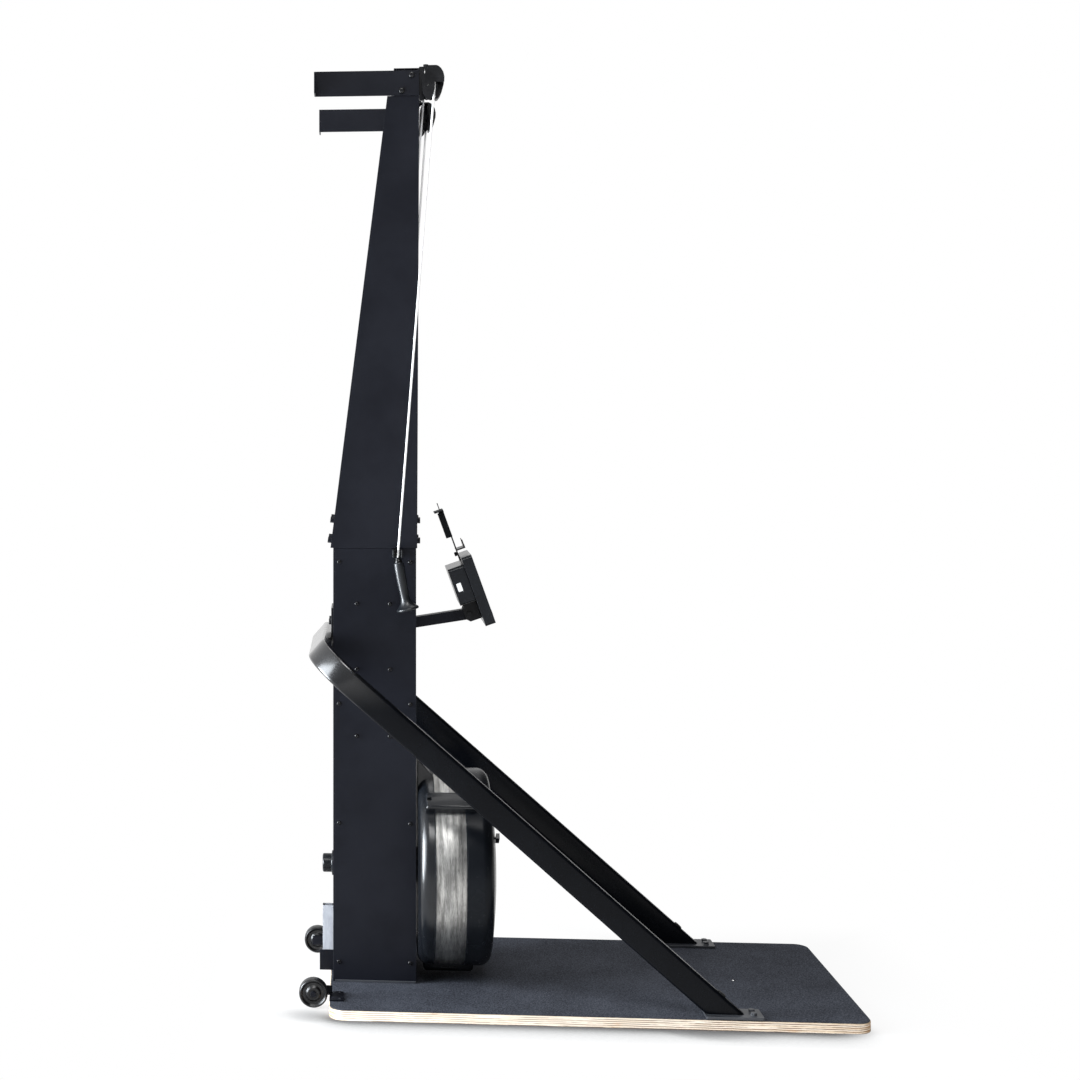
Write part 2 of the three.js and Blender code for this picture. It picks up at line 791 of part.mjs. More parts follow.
// The bent strap that carries a pulley: base on the beam, top strap, cheek and cord hook
function makeYoke(side) {
  const centre = pulleyCentre(side);
  const axis = pulleyAxis(side);
  const along = pulleyAlong(side);
  const width = [centre.y - yokeWidth / 2, centre.y + yokeWidth / 2];
  const underZ = pulleyZ + pulleyRadius + yokeCheekGap;
  const topZ = underZ + yokeThickness;
  const baseX = beamFrontX + seatGap;
  const innerX = pulleyX + hookReach - hookDepth;
  const drop = 2 * pulleyRadius;
  const outerShares = [[0.1, 0], [0.35, 0.03], [0.62, 0.1], [0.87, 0.22], [1, 0.38], [0.98, 0.55]];
  const tipShares = [[0.8, 0.75], [0.57, 0.92], [0.29, 1.04], [0.05, 1.05]];
  const innerShares = [[0, 0.99], [0.17, 0.75], [0.17, 0.5], [0.12, 0.36], [0.12, 0.06]];
  const outline = [...outerShares, ...tipShares, ...innerShares].map(([out, down]) => [
    innerX + out * hookDepth,
    topZ - down * drop,
  ]);
  outline.push([innerX - yokeThickness, underZ]);
  outline.push([innerX - yokeThickness, topZ]);
  const cheekBack = pulleyWidth / 2 + yokeCheekGap + (side === near ? yokeThickness : 0);
  const cheekStart = centre.clone().addScaledVector(axis, cheekBack);
  const cheekHalf = yokeCheekWidth / 2;
  const cheekTop = topZ - pulleyZ;
  const cheek = [
    [-cheekHalf, -cheekHalf],
    [cheekHalf, -cheekHalf],
    [cheekHalf, cheekTop],
    [-cheekHalf, cheekTop],
  ];
  const lugX = [baseX + yokeLugStart, baseX + yokeLugDepth];
  const guardX = beamFrontX + guardAhead;
  const guardZ = topZ - guardDrop;
  const guardY = onSide(side, guardSpan);
  const tabX = [guardX - guardTabHalf, guardX + guardTabHalf];
  const guard = ovalPoints(guardHalfWidth, guardHalfHeight, guardSides).map(([x, z]) => [
    guardX + x,
    guardZ + z,
  ]);
  const lip = outline.slice(0, outerShares.length);
  lip.push([guardX, lip.at(-1)[1]]);
  lip.push([guardX, topZ]);
  const bolt = vector(pulleyX - yokeWasherRadius, centre.y, topZ - weldDepth);
  const washerTop = weldDepth + yokeWasherHeight;
  const bodies = [
    block([baseX, baseX + yokeBaseThickness], width, [beamBottomZ, topZ]),
    block([baseX, innerX], width, [underZ, topZ]),
    sideOutline(outline, width[0], width[1]),
    pushed(shapeOf(cheek), yokeThickness, cheekStart, along, axisZ),
    rod(yokeWasherRadius, washerTop, bolt, axisZ, holeSides),
    rod(yokeBoltRadius, washerTop + yokeBoltHeight, bolt, axisZ, boltSides),
    block(lugX, onSide(side, yokeLugSpan), [beamBottomZ - yokeLugDrop, topZ]),
    block(tabX, [centre.y, side * guardSpan[1]], [underZ, topZ]),
    block(tabX, guardY, [topZ - guardDrop, topZ]),
    sideOutline(guard, Math.min(...guardY), Math.max(...guardY)),
    sideOutline(lip, Math.min(...guardY), Math.max(...guardY)),
  ];
  const holeStart = centre.clone().addScaledVector(axis, -2 * pulleyWidth);
  const cheekEnd = pulleyWidth / 2 + yokeCheekGap + yokeThickness;
  const holeLength = 2 * pulleyWidth + cheekEnd + seatGap;
  const hole = rod(pulleyAxleRadius + seatGap, holeLength, holeStart, axis, holeSides);
  const nutStart = centre.clone().addScaledVector(axis, cheekEnd);
  const nutLength = pulleyAxleHeadHeight + 2 * seatGap;
  const nutSpace = rod(pulleyAxleHeadRadius + seatGap, nutLength, nutStart, axis, holeSides);
  place('pulley_yoke_' + sideName(side), cutFrom(joined(bodies), [hole, nutSpace]), darkSteel);
}

// A cord leaves the far side of its drum, so that it passes inside the column's neck
function cordFoot(side) {
  const back = side === near ? nearDrumBack : farDrumBack;
  const reach = drumRadius + seatGap + cordRadius;
  return vector(columnBackX + back + drumWidth / 2, -side * reach, fanAxisZ);
}

function cordHead(side) {
  return pulleyCentre(side).addScaledVector(pulleyAlong(side), -cordOnPulley);
}

function cordPointAtX(side, x) {
  const foot = cordFoot(side);
  const head = cordHead(side);
  return foot.clone().lerp(head, (x - foot.x) / (head.x - foot.x));
}

// The half turn of a cord over its pulley
class PulleyTurn extends THREE.Curve {
  constructor(side) {
    super();
    this.centre = pulleyCentre(side);
    this.along = pulleyAlong(side);
  }

  getPoint(t, target = new THREE.Vector3()) {
    const angle = 2 * quarterTurn * (1 - t);
    target.copy(this.centre).addScaledVector(this.along, Math.cos(angle) * cordOnPulley);
    return target.addScaledVector(axisZ, Math.sin(angle) * cordOnPulley);
  }
}

// A round cord along a path
function cordAlong(path, steps) {
  const section = new THREE.Shape();
  section.absarc(0, 0, cordRadius, 0, 4 * quarterTurn);
  const settings = { extrudePath: path, steps, bevelEnabled: false, curveSegments: cordSides / 2 };
  return solid(new THREE.ExtrudeGeometry(section, settings));
}

function makeCords(side) {
  const foot = cordFoot(side);
  const head = cordHead(side);
  const weld = head.clone().sub(foot).setLength(cordRadius);
  const run = cordAlong(new THREE.LineCurve3(foot, head.clone().add(weld)), 1);
  const turn = cordAlong(new PulleyTurn(side), wrapSteps);
  place('cord_inner_' + sideName(side), run.add(turn), whiteCord);
  const start = pulleyCentre(side).addScaledVector(pulleyAlong(side), cordOnPulley);
  start.z -= seatGap;
  const end = vector(handleX, side * handleDockSpread, handleTopZ + seatGap);
  place('cord_outer_' + sideName(side), cordAlong(new THREE.LineCurve3(end, start), 1), whiteCord);
}

// Leans and bends an upright piece: its shift in X grows with the depth below its top
function leaned(body, length, startLean, endLean) {
  const geometry = geometryOf(body);
  const places = geometry.attributes.position;
  const curve = (endLean - startLean) / (2 * length);
  for (let i = 0; i < places.count; i++) {
    const depth = Math.max(handleTopZ - places.getZ(i), 0);
    places.setX(i, places.getX(i) + startLean * depth + curve * depth * depth);
  }
  return solid(geometry);
}

function makeHandle(side) {
  const length = ferruleHeight + gripLength;
  const startLean = side === near ? nearTopLean : farTopLean;
  const endLean = side === near ? nearEndLean : farEndLean;
  const up = vector(handleX, side * handleDockSpread, handleTopZ);
  const down = vector(up.x, up.y, up.z - ferruleHeight - seatGap);
  const ferrule = [[0, 0], [ferruleTopRadius, 0], [ferruleRadius, -ferruleHeight], [0, -ferruleHeight]];
  const neckShares = [[0, 0.84], [0.04, 1], [0.2, 1], [0.4, 0.96], [0.62, 0.88], [0.76, 0.84]];
  const flareShares = [[0.82, 0.02], [0.88, 0.14], [0.93, 0.4], [0.965, 0.82]];
  const grip = [[0, 0]];
  for (const [depth, width] of neckShares) grip.push([gripTopRadius * width, -gripLength * depth]);
  const swell = gripFlareRadius - gripNeckRadius;
  for (const [depth, width] of flareShares) grip.push([gripNeckRadius + swell * width, -gripLength * depth]);
  grip.push([gripFlareRadius, -gripLength + gripLipThickness / 2]);
  grip.push([gripFlareRadius - gripLipThickness / 2, -gripLength]);
  grip.push([gripNeckRadius, -gripLength + gripDish]);
  grip.push([0, -gripLength + gripDish]);
  const pieces = [
    ['handle_ferrule_', ferrule, up, steel],
    ['handle_grip_', grip, down, rubber],
  ];
  for (const [name, profile, origin, finish] of pieces) {
    const body = turned(profile, origin, axisZ, gripSides);
    place(name + sideName(side), leaned(body, length, startLean, endLean), finish);
  }
}

// The fork on the column's side that holds a cord while its handle is put away
function makeDock(side) {
  const tip = side * (panelOuterY + dockReach);
  const bottom = handleTopZ + 2 * seatGap;
  const x0 = handleX - dockWidth / 2;
  const x1 = handleX + dockWidth / 2;
  const height = [bottom, bottom + dockHeight];
  const body = block([x0, x1], [side * (panelOuterY + seatGap), tip], height);
  const slotY = [tip - side * dockSlotDepth, tip + side * overrun];
  const slot = block([x0 + dockTine, x1 - dockTine], slotY, [bottom - overrun, height[1] + overrun]);
  place('handle_dock_' + sideName(side), body.subtract(slot), darkSteel);
}

// A group at the monitor's pivot, with X out of the screen and Z up the monitor
function makeMonitorGroup() {
  const group = new THREE.Group();
  group.position.set(columnFrontX + pivotAhead, 0, pivotZ);
  group.rotation.y = -monitorTiltDegrees * degree;
  machine.add(group);
  return group;
}

// A square tube from the column's front up to the pivot, with a bored round end
function makeMonitorArm() {
  const rise = Math.tan(armRiseDegrees * degree);
  const startX = columnFrontX + seatGap;
  const pivot = vector(columnFrontX + pivotAhead, 0, pivotZ);
  const startZ = pivot.z - rise * (pivot.x - startX);
  const tall = armHeight / 2 / Math.cos(armRiseDegrees * degree);
  const wallTall = armWall / Math.cos(armRiseDegrees * degree);
  const side = [
    [startX, startZ - tall],
    [pivot.x, pivot.z - tall],
    [pivot.x, pivot.z + tall],
    [startX, startZ + tall],
  ];
  const hollowEnd = pivot.x - pivotBossRadius - armWall;
  const hollowEndZ = pivot.z - rise * (pivot.x - hollowEnd);
  const backZ = startZ - rise * overrun;
  const hollow = [
    [startX - overrun, backZ - tall + wallTall],
    [hollowEnd, hollowEndZ - tall + wallTall],
    [hollowEnd, hollowEndZ + tall - wallTall],
    [startX - overrun, backZ + tall - wallTall],
  ];
  const half = armWidth / 2;
  const bossStart = vector(pivot.x, -half, pivot.z);
  const boreStart = vector(pivot.x, -half - overrun, pivot.z);
  const body = sideOutline(side, -half, half).add(rod(armHeight / 2, armWidth, bossStart, axisY, shaftSides));
  const cuts = [
    sideOutline(hollow, armWall - half, half - armWall),
    rod(pivotBoltRadius + seatGap, armWidth + 2 * overrun, boreStart, axisY, holeSides),
  ];
  place('monitor_arm', cutFrom(body, cuts), paint);
}

// Two ears and a back plate that join the monitor to its pivot bolt
function makeClevis(group) {
  const inner = armWidth / 2 + clevisEarGap;
  const outer = inner + clevisEar;
  const plateX = [monitorBackFromPivot - seatGap - clevisPlate, monitorBackFromPivot - seatGap];
  const bodies = [block(plateX, [-outer, outer], [-clevisDrop, clevisFrontRise])];
  const ear = [
    [-clevisBackReach, clevisCorner - clevisDrop],
    [clevisCorner - clevisBackReach, -clevisDrop],
    [plateX[1], -clevisDrop],
    [plateX[1], clevisFrontRise],
    [clevisFrontStart, clevisFrontRise],
    [-clevisBackReach, clevisRise],
  ];
  for (const side of [near, far]) {
    const start = side === near ? -outer : inner;
    bodies.push(sideOutline(ear, start, start + clevisEar));
  }
  const boreStart = vector(0, -outer - overrun, 0);
  const bore = rod(pivotBoltRadius + seatGap, 2 * outer + 2 * overrun, boreStart, axisY, holeSides);
  place('monitor_clevis', cutFrom(joined(bodies), [bore]), darkSteel, group);
  const reach = outer + seatGap;
  const headStart = vector(0, -reach - pivotBoltHeadHeight, 0);
  const bolt = [
    rod(pivotBoltRadius, 2 * reach, vector(0, -reach, 0), axisY, holeSides),
    rod(pivotBoltHeadRadius, pivotBoltHeadHeight, headStart, axisY, boltSides),
    rod(pivotBoltHeadRadius, pivotBoltHeadHeight, vector(0, reach, 0), axisY, boltSides),
  ];
  place('monitor_pivot_bolt', joined(bolt), steel, group);
}

// A plate with round corners that faces along the monitor group's X
function facePlate(width, height, radius, x0, x1, middleZ) {
  const outline = roundedRect(width, height, radius);
  return pushed(outline, x1 - x0, vector(x0, 0, middleZ), axisY, axisZ, monitorCurve);
}

function makeMonitor(group) {
  const backX = monitorBackFromPivot;
  const frontX = backX + monitorThickness;
  const bottomZ = -monitorBelowPivot;
  const middleZ = bottomZ + monitorHeight / 2;
  const innerWidth = monitorWidth - 2 * monitorWall;
  const innerHeight = monitorHeight - 2 * monitorWall;
  const innerRadius = monitorCornerRadius - monitorWall;
  const caseMiddleZ = bottomZ + backCaseFromBottom + backCaseHeight / 2;
  const mouthWidth = backCaseWidth - 2 * monitorWall;
  const mouthHeight = backCaseHeight - 2 * monitorWall;
  const screenZ = bottomZ + screenRise + screenHeight / 2;
  const screenX = frontX - screenThickness;
  const front = facePlate(monitorWidth, monitorHeight, monitorCornerRadius, backX, frontX, middleZ);
  const innerX = [backX + monitorWall, frontX - monitorWall - screenThickness];
  const seatWidth = screenWidth + 2 * seatGap;
  const seatHeight = screenHeight + 2 * seatGap;
  const cuts = [
    facePlate(innerWidth, innerHeight, innerRadius, innerX[0], innerX[1], middleZ),
    facePlate(mouthWidth, mouthHeight, innerRadius, backX - overrun, backX + 2 * monitorWall, caseMiddleZ),
    facePlate(seatWidth, seatHeight, monitorWall, screenX - seatGap, frontX + overrun, screenZ),
  ];
  const names = ['button_left', 'button_middle', 'button_right'];
  names.forEach((name, i) => {
    const y = (i - 1) * buttonPitch;
    const z = bottomZ + buttonRise;
    const wide = buttonWidth / 2;
    const tall = buttonHeight / 2;
    const gap = buttonGap;
    cuts.push(block([frontX - monitorWall - 2 * screenThickness, frontX + overrun],
      [y - wide - gap, y + wide + gap], [z - tall - gap, z + tall + gap]));
    const faceX = frontX + buttonProud;
    const button = block([faceX - buttonThickness, faceX], [y - wide, y + wide], [z - tall, z + tall]);
    place(name, button, rubber, group);
  });
  place('monitor_front_case', cutFrom(front, cuts), plastic, group);
  const screen = facePlate(screenWidth, screenHeight, monitorWall, screenX, frontX, screenZ);
  place('monitor_screen', screen, screenGlass, group);
  const caseX = [backX - backCaseDepth, backX - seatGap];
  const back = facePlate(backCaseWidth, backCaseHeight, monitorCornerRadius, caseX[0], caseX[1], caseMiddleZ);
  const hollowX = [caseX[0] + monitorWall, backX + overrun];
  const hollow = facePlate(mouthWidth, mouthHeight, innerRadius, hollowX[0], hollowX[1], caseMiddleZ);
  place('monitor_back_case', cutFrom(back, [hollow]), plastic, group);
}

// The holder's rod, its shelf with a front lip, and a pin at each end of the lip
function makePhoneStand(group) {
  const x1 = monitorBackFromPivot - seatGap;
  const x0 = x1 - phoneRodThickness;
  const topOfMonitor = monitorHeight - monitorBelowPivot;
  const shelfZ = topOfMonitor + phoneShelfRise;
  const shelfEnd = x1 + phoneShelfDepth;
  const half = phoneShelfWidth / 2;
  const lipTop = shelfZ + phoneShelfLip;
  const bodies = [
    block([x0, x1], [-phoneRodWidth / 2, phoneRodWidth / 2], [phoneRodFoot, phoneRodTop]),
    block([x0, shelfEnd], [-half, half], [shelfZ, shelfZ + phoneShelfThickness]),
    block([shelfEnd - phoneShelfThickness, shelfEnd], [-half, half], [shelfZ, lipTop]),
  ];
  for (const side of [near, far]) {
    const y = side * (half - phonePinRadius - phoneShelfThickness);
    const foot = vector(shelfEnd - phoneShelfThickness / 2, y, lipTop - weldDepth);
    bodies.push(rod(phonePinRadius, phonePinRise, foot, axisZ, boltSides));
  }
  place('phone_stand', joined(bodies), darkSteel, group);
  const knobZ = topOfMonitor + phoneKnobRise;
  const knobX = x0 - seatGap - phoneKnobThickness;
  const knob = rod(phoneKnobRadius, phoneKnobThickness, vector(knobX, 0, knobZ), axisX, holeSides);
  place('phone_knob', knob, plastic, group);
}

// The block that slides on the rod, with the upper jaw, its turned-down edge and a pin
function makePhoneClamp(group) {
  const rodFront = monitorBackFromPivot - seatGap;
  const x1 = rodFront + phoneBlockClearance;
  const x0 = x1 - phoneBlockDepth;
  const topOfMonitor = monitorHeight - monitorBelowPivot;
  const z0 = topOfMonitor + phoneBlockRise;
  const z1 = z0 + phoneBlockHeight;
  const jawZ = topOfMonitor + phoneJawRise;
  const jawBack = x1 - phoneJawDepth;
  const jaw = phoneJawWidth / 2;
  const lip = phoneJawThickness;
  const half = phoneBlockWidth / 2;
  const pinFoot = vector((x0 + x1) / 2, 0, jawZ + lip - weldDepth);
  const bodies = [
    block([x0, x1], [-half, half], [z0, z1]),
    block([x0 + lip, x1 - lip], [-half + lip, half - lip], [z1 - weldDepth, jawZ + weldDepth]),
    block([jawBack, x1], [-jaw, jaw], [jawZ, jawZ + lip]),
    block([x1 - lip, x1], [-jaw, jaw], [jawZ - lip, jawZ + lip]),
    rod(phonePinRadius, phonePinHeight, pinFoot, axisZ, boltSides),
  ];
  const channelHalf = phoneRodWidth / 2 + phoneBlockClearance;
  const channelX = [rodFront - phoneRodThickness - phoneBlockClearance, x1 + overrun];
  const channelZ = [z0 - overrun, phoneRodTop + phoneBlockClearance];
  const channel = block(channelX, [-channelHalf, channelHalf], channelZ);
  place('phone_clamp', joined(bodies).subtract(channel), plastic, group);
}

// A profile turned about the fan's axis, with its distances given as places along X
function fanTurned(profile, segments = cageSides) {
  return turned(profile, vector(0, 0, fanAxisZ), axisX, segments);
}

// A flat outline in Y and Z about the fan's axis, pushed from one place along X to another
function fanPushed(outline, x0, x1, settings = windowCurve) {
  return pushed(outline, x1 - x0, vector(x0, 0, fanAxisZ), axisY, axisZ, settings);
}

const cageBackX = columnFrontX + cageBack;
const rearRimX = cageBackX + rearShellDepth;
const frontRimX = rearRimX + bandVisible;
const shoulderX = frontRimX + frontShellDepth;
const cageInner = cageRadius - cageWall;
const damperFrontX = shoulderX - cageWall - damperGap;
const damperBackX = damperFrontX - damperThickness;

function makeRearShell() {
  const bore = axleRadius + shellBoreClearance;
  const turn = cageRadius - rearShellRound;
  const inner = rearShellRound - cageWall;
  const profile = [
    [bore, cageBackX],
    ...roundPoints(turn, cageBackX + rearShellRound, rearShellRound, -quarterTurn, 0, roundSteps),
    [cageRadius, rearRimX],
    [cageInner, rearRimX],
    ...roundPoints(turn, cageBackX + rearShellRound, inner, 0, -quarterTurn, roundSteps),
    [bore, cageBackX + cageWall],
    [bore, cageBackX],
  ];
  const hollow = [
    [0, cageBackX + cageWall],
    ...roundPoints(turn, cageBackX + rearShellRound, inner, -quarterTurn, 0, roundSteps),
    [cageInner, rearRimX],
    [0, rearRimX],
  ];
  const cowl = [
    [cageBackX, cowlBottomZ],
    [cageBackX + cowlReach, cowlBottomZ],
    [cageBackX + cowlReach, cowlFrontZ],
    [cageBackX + cowlLedge, cowlTopZ],
    [cageBackX, cowlTopZ],
  ];
  const filler = cutFrom(sideOutline(cowl, -cowlHalf, cowlHalf), [fanTurned(hollow)]);
  place('fan_rear_shell', fanTurned(profile).add(filler), plastic);
}

function makeBand() {
  const outer = cageInner - seatGap;
  const x0 = rearRimX - bandTuck;
  const x1 = frontRimX + bandTuck;
  const inner = outer - bandWall;
  const profile = [[inner, x0], [outer, x0], [outer, x1], [inner, x1], [inner, x0]];
  place('fan_band', fanTurned(profile), perforatedSteel);
}

// The dome of the front shell: its height above the shoulder at a radius
function domeRise(radius) {
  const share = Math.min(radius / (cageRadius - frontShellRound), 1);
  return domeHeight * (1 - share * share);
}

// The front shell with its intake windows, damper slot and centre boss, and the clips round it
function makeFrontShell() {
  const turn = cageRadius - frontShellRound;
  const inner = frontShellRound - cageWall;
  const domeShares = [0.3, 0.65, 0.85];
  const domeRadii = domeShares.map((share) => share * turn);
  const bossRadius = damperHubRadius - seatGap;
  const centreX = shoulderX - frontShellRound;
  const profile = [
    [0, shoulderX + domeHeight],
    ...domeRadii.map((radius) => [radius, shoulderX + domeRise(radius)]),
    ...roundPoints(turn, centreX, frontShellRound, quarterTurn, 0, roundSteps),
    [cageRadius, frontRimX],
    [cageInner, frontRimX],
    ...roundPoints(turn, centreX, inner, 0, quarterTurn, roundSteps),
    ...domeRadii.reverse().filter((radius) => radius > bossRadius)
      .map((radius) => [radius, shoulderX - cageWall + domeRise(radius)]),
    [bossRadius, shoulderX - cageWall + domeRise(bossRadius)],
    [bossRadius, damperBackX],
    [0, damperBackX],
  ];
  const cutX = [damperFrontX + weldDepth, shoulderX + domeHeight + overrun];
  const cuts = [];
  const step = 4 * quarterTurn / intakeCount;
  for (let i = 0; i < intakeCount; i++) {
    const start = quarterTurn + i * step - step * intakeShare / 2;
    const window = ringPart(intakeInnerRadius, intakeOuterRadius, start, start + step * intakeShare);
    cuts.push(fanPushed(window, cutX[0], cutX[1]));
  }
  const slotHalf = damperPinRadius + seatGap;
  const margin = slotHalf / damperLeverRadius;
  const slotEnd = (damperLeverAngle - damperSweep) * degree - margin;
  const slotStart = damperLeverAngle * degree + margin;
  const slot = ringPart(damperLeverRadius - slotHalf, damperLeverRadius + slotHalf, slotEnd, slotStart);
  cuts.push(fanPushed(slot, cutX[0], cutX[1]));
  const shell = cutFrom(fanTurned(profile), cuts);
  place('fan_front_shell', joined([shell, ...clipAngles.map(makeClip)]), plastic);
}

// One clip across the band: raised over the rear shell and welded into the front one
function makeClip(angle) {
  const x0 = rearRimX - clipRearOverlap;
  const x1 = frontRimX + clipFrontOverlap;
  const clear = cageRadius + seatGap;
  const outside = cageRadius + clipHeight;
  const half = clipWidth / 2;
  const across = vector(0, Math.sin(angle * degree), -Math.cos(angle * degree));
  const radial = vector(0, Math.cos(angle * degree), Math.sin(angle * degree));
  const corner = clipHeight * clipCornerShare;
  const section = shapeOf([
    [-half, cageRadius - cageWall],
    [half, cageRadius - cageWall],
    [half, outside - corner],
    [half - corner, outside],
    [-half + corner, outside],
    [-half, outside - corner],
  ]);
  const along = new THREE.Vector3().crossVectors(across, radial);
  const start = vector(along.x > 0 ? x0 : x1, 0, fanAxisZ);
  const body = pushed(section, x1 - x0, start, across, radial);
  const clearX = [x0 - overrun, frontRimX + seatGap];
  const clearance = [[0, clearX[0]], [clear, clearX[0]], [clear, clearX[1]], [0, clearX[1]]];
  return body.subtract(fanTurned(clearance));
}

function makeRotor() {
  const x1 = frontRimX - rotorBehindBandFront;
  const x0 = x1 - rotorWidth;
  const bore = axleRadius + seatGap;
  const hubEnd = (x0 + x1) / 2;
  const profile = [
    [bore, x0],
    [rotorRadius, x0],
    [rotorRadius, x0 + rotorPlate],
    [rotorHubRadius, x0 + rotorPlate],
    [rotorHubRadius, hubEnd],
    [bore, hubEnd],
    [bore, x0],
  ];
  const bodies = [fanTurned(profile)];
  const half = rotorBladeThickness / 2;
  for (let i = 0; i < rotorBladeCount; i++) {
    const angle = 4 * quarterTurn * i / rotorBladeCount;
    const radial = vector(0, Math.cos(angle), Math.sin(angle));
    const across = new THREE.Vector3().crossVectors(radial, axisX);
    const blade = shapeOf([
      [-half, rotorBladeRoot],
      [half, rotorBladeRoot],
      [half, rotorRadius - rotorBladeThickness],
      [-half, rotorRadius - rotorBladeThickness],
    ]);
    const out = new THREE.Vector3().crossVectors(across, radial);
    const start = vector(out.x > 0 ? x0 + weldDepth : x1, 0, fanAxisZ);
    bodies.push(pushed(blade, x1 - x0 - weldDepth, start, across, radial));
  }
  place('fan_rotor', joined(bodies), plastic);
  place('fan_axle', fanRod(axleRadius, columnBackX - axleBack, hubEnd + axleNose), steel);
}

// The bearing cap on the column's back, hollow for the axle's end
function makeRearCap() {
  const flangeX = columnBackX - seatGap;
  const capX = flangeX - capReach;
  const bore = axleRadius + seatGap;
  const hollowX = capX + capEndWall;
  const profile = [
    [0, capX],
    [capRadius, capX],
    [capRadius, flangeX - capFlangeThickness],
    [capFlangeRadius, flangeX - capFlangeThickness],
    [capFlangeRadius, flangeX],
    [bore, flangeX],
    [bore, hollowX],
    [0, hollowX],
  ];
  place('rear_bearing_cap', fanTurned(profile, shaftSides), plastic);
}

// The bearing housing in the column's front wall, whose flange carries the cage
function makeFrontBearing() {
  const bore = axleRadius + seatGap;
  const x0 = columnFrontX + seatGap;
  const x1 = cageBackX - seatGap;
  const tailX = x0 - bearingLength;
  const profile = [
    [bore, tailX],
    [bearingRadius, tailX],
    [bearingRadius, x0],
    [bearingFlangeRadius, x0],
    [bearingFlangeRadius, x1],
    [bore, x1],
    [bore, tailX],
  ];
  place('front_bearing', fanTurned(profile, shaftSides), darkSteel);
}

function makeDrum(side) {
  const x0 = columnBackX + (side === near ? nearDrumBack : farDrumBack);
  const x1 = x0 + drumWidth;
  const bore = axleRadius + seatGap;
  const profile = [
    [bore, x0],
    [drumFlangeRadius, x0],
    [drumFlangeRadius, x0 + drumFlange],
    [drumRadius, x0 + drumFlange],
    [drumRadius, x1 - drumFlange],
    [drumFlangeRadius, x1 - drumFlange],
    [drumFlangeRadius, x1],
    [bore, x1],
    [bore, x0],
  ];
  place('cord_drum_' + sideName(side), fanTurned(profile, shaftSides), plastic);
}

// The recoil spring's case between the drums, on a stand from the column's foot
function makeSpringCase() {
  const x0 = columnBackX + springCaseBack;
  const x1 = x0 + springCaseWidth;
  const bore = axleRadius + seatGap;
  const profile = [[bore, x0], [springCaseRadius, x0], [springCaseRadius, x1], [bore, x1], [bore, x0]];
  const half = springStandWidth / 2;
  const middle = (x0 + x1) / 2;
  const standX = [middle - springStandThickness / 2, middle + springStandThickness / 2];
  const footZ = columnBottomZ + columnFootThickness + seatGap;
  const foot = block([x0, x1], [-half, half], [footZ, footZ + springStandThickness]);
  const stand = block(standX, [-half, half], [footZ, fanAxisZ - springCaseRadius + springStandThickness]);
  place('recoil_spring_case', joined([fanTurned(profile, shaftSides), stand, foot]), darkSteel);
}

// The damper: a ring with windows like the shell's, an arm, and a knob through the shell's slot
function makeDamper() {
  const rim = intakeOuterRadius + damperRimReach;
  const profile = [
    [damperHubRadius, damperBackX],
    [rim, damperBackX],
    [rim, damperFrontX],
    [damperHubRadius, damperFrontX],
    [damperHubRadius, damperBackX],
  ];
  const cuts = [];
  const step = 4 * quarterTurn / intakeCount;
  for (let i = 0; i < intakeCount; i++) {
    const start = quarterTurn + (i + damperWindowShift) * step - step * intakeShare / 2;
    const window = ringPart(intakeInnerRadius, intakeOuterRadius, start, start + step * intakeShare);
    cuts.push(fanPushed(window, damperBackX - overrun, damperFrontX + overrun));
  }
  const angle = damperLeverAngle * degree;
  const radial = vector(0, Math.cos(angle), Math.sin(angle));
  const across = new THREE.Vector3().crossVectors(radial, axisX);
  const out = new THREE.Vector3().crossVectors(across, radial);
  const half = damperArmWidth / 2;
  const knobHalf = damperKnobWidth / 2;
  const armEnd = damperLeverRadius + damperPinRadius;
  const arm = shapeOf([[-half, rim - half], [half, rim - half], [knobHalf, armEnd], [-knobHalf, armEnd]]);
  const knobRoot = damperLeverRadius - damperKnobLength / 2;
  const knobX = shoulderX + domeRise(knobRoot) + damperKnobGap;
  const knobEnd = knobRoot + damperKnobLength;
  const knobOutline = [
    [-knobHalf, knobRoot],
    [knobHalf, knobRoot],
    [knobHalf, knobEnd],
    [-knobHalf, knobEnd],
  ];
  const knob = shapeOf(knobOutline);
  const onAxis = (x0, x1) => vector(out.x > 0 ? x0 : x1, 0, fanAxisZ);
  const pinStart = onAxis(damperBackX, damperBackX).addScaledVector(radial, damperLeverRadius);
  const pinLength = knobX - damperBackX + weldDepth;
  const bodies = [
    cutFrom(fanTurned(profile), cuts),
    pushed(arm, damperThickness, onAxis(damperBackX, damperFrontX), across, radial),
    rod(damperPinRadius, pinLength, pinStart, axisX, holeSides),
    pushed(knob, damperKnobThickness, onAxis(knobX, knobX + damperKnobThickness), across, radial),
  ];
  place('damper_ring', joined(bodies), plastic);
}

// Directions of the hoop: up its slope, and square to the slope
const hoopSlope = hoopSlopeDegrees * degree;
const hoopUp = vector(-Math.cos(hoopSlope), 0, Math.sin(hoopSlope));
const hoopOut = vector(Math.sin(hoopSlope), 0, Math.cos(hoopSlope));
const hoopReach = hoopTubeWidth / 2 * Math.cos(hoopSlope) + hoopTubeHeight / 2 * Math.sin(hoopSlope);
const hoopCross = vector(columnBackX - seatGap - hoopReach, 0, hoopCrossZ);
const hoopLegLength = (hoopCrossZ - boardTop) / Math.sin(hoopSlope) + hoopTubeHeight;
const footFrontX = hoopCross.x + (hoopCrossZ - boardTop) / Math.tan(hoopSlope) + footAhead;

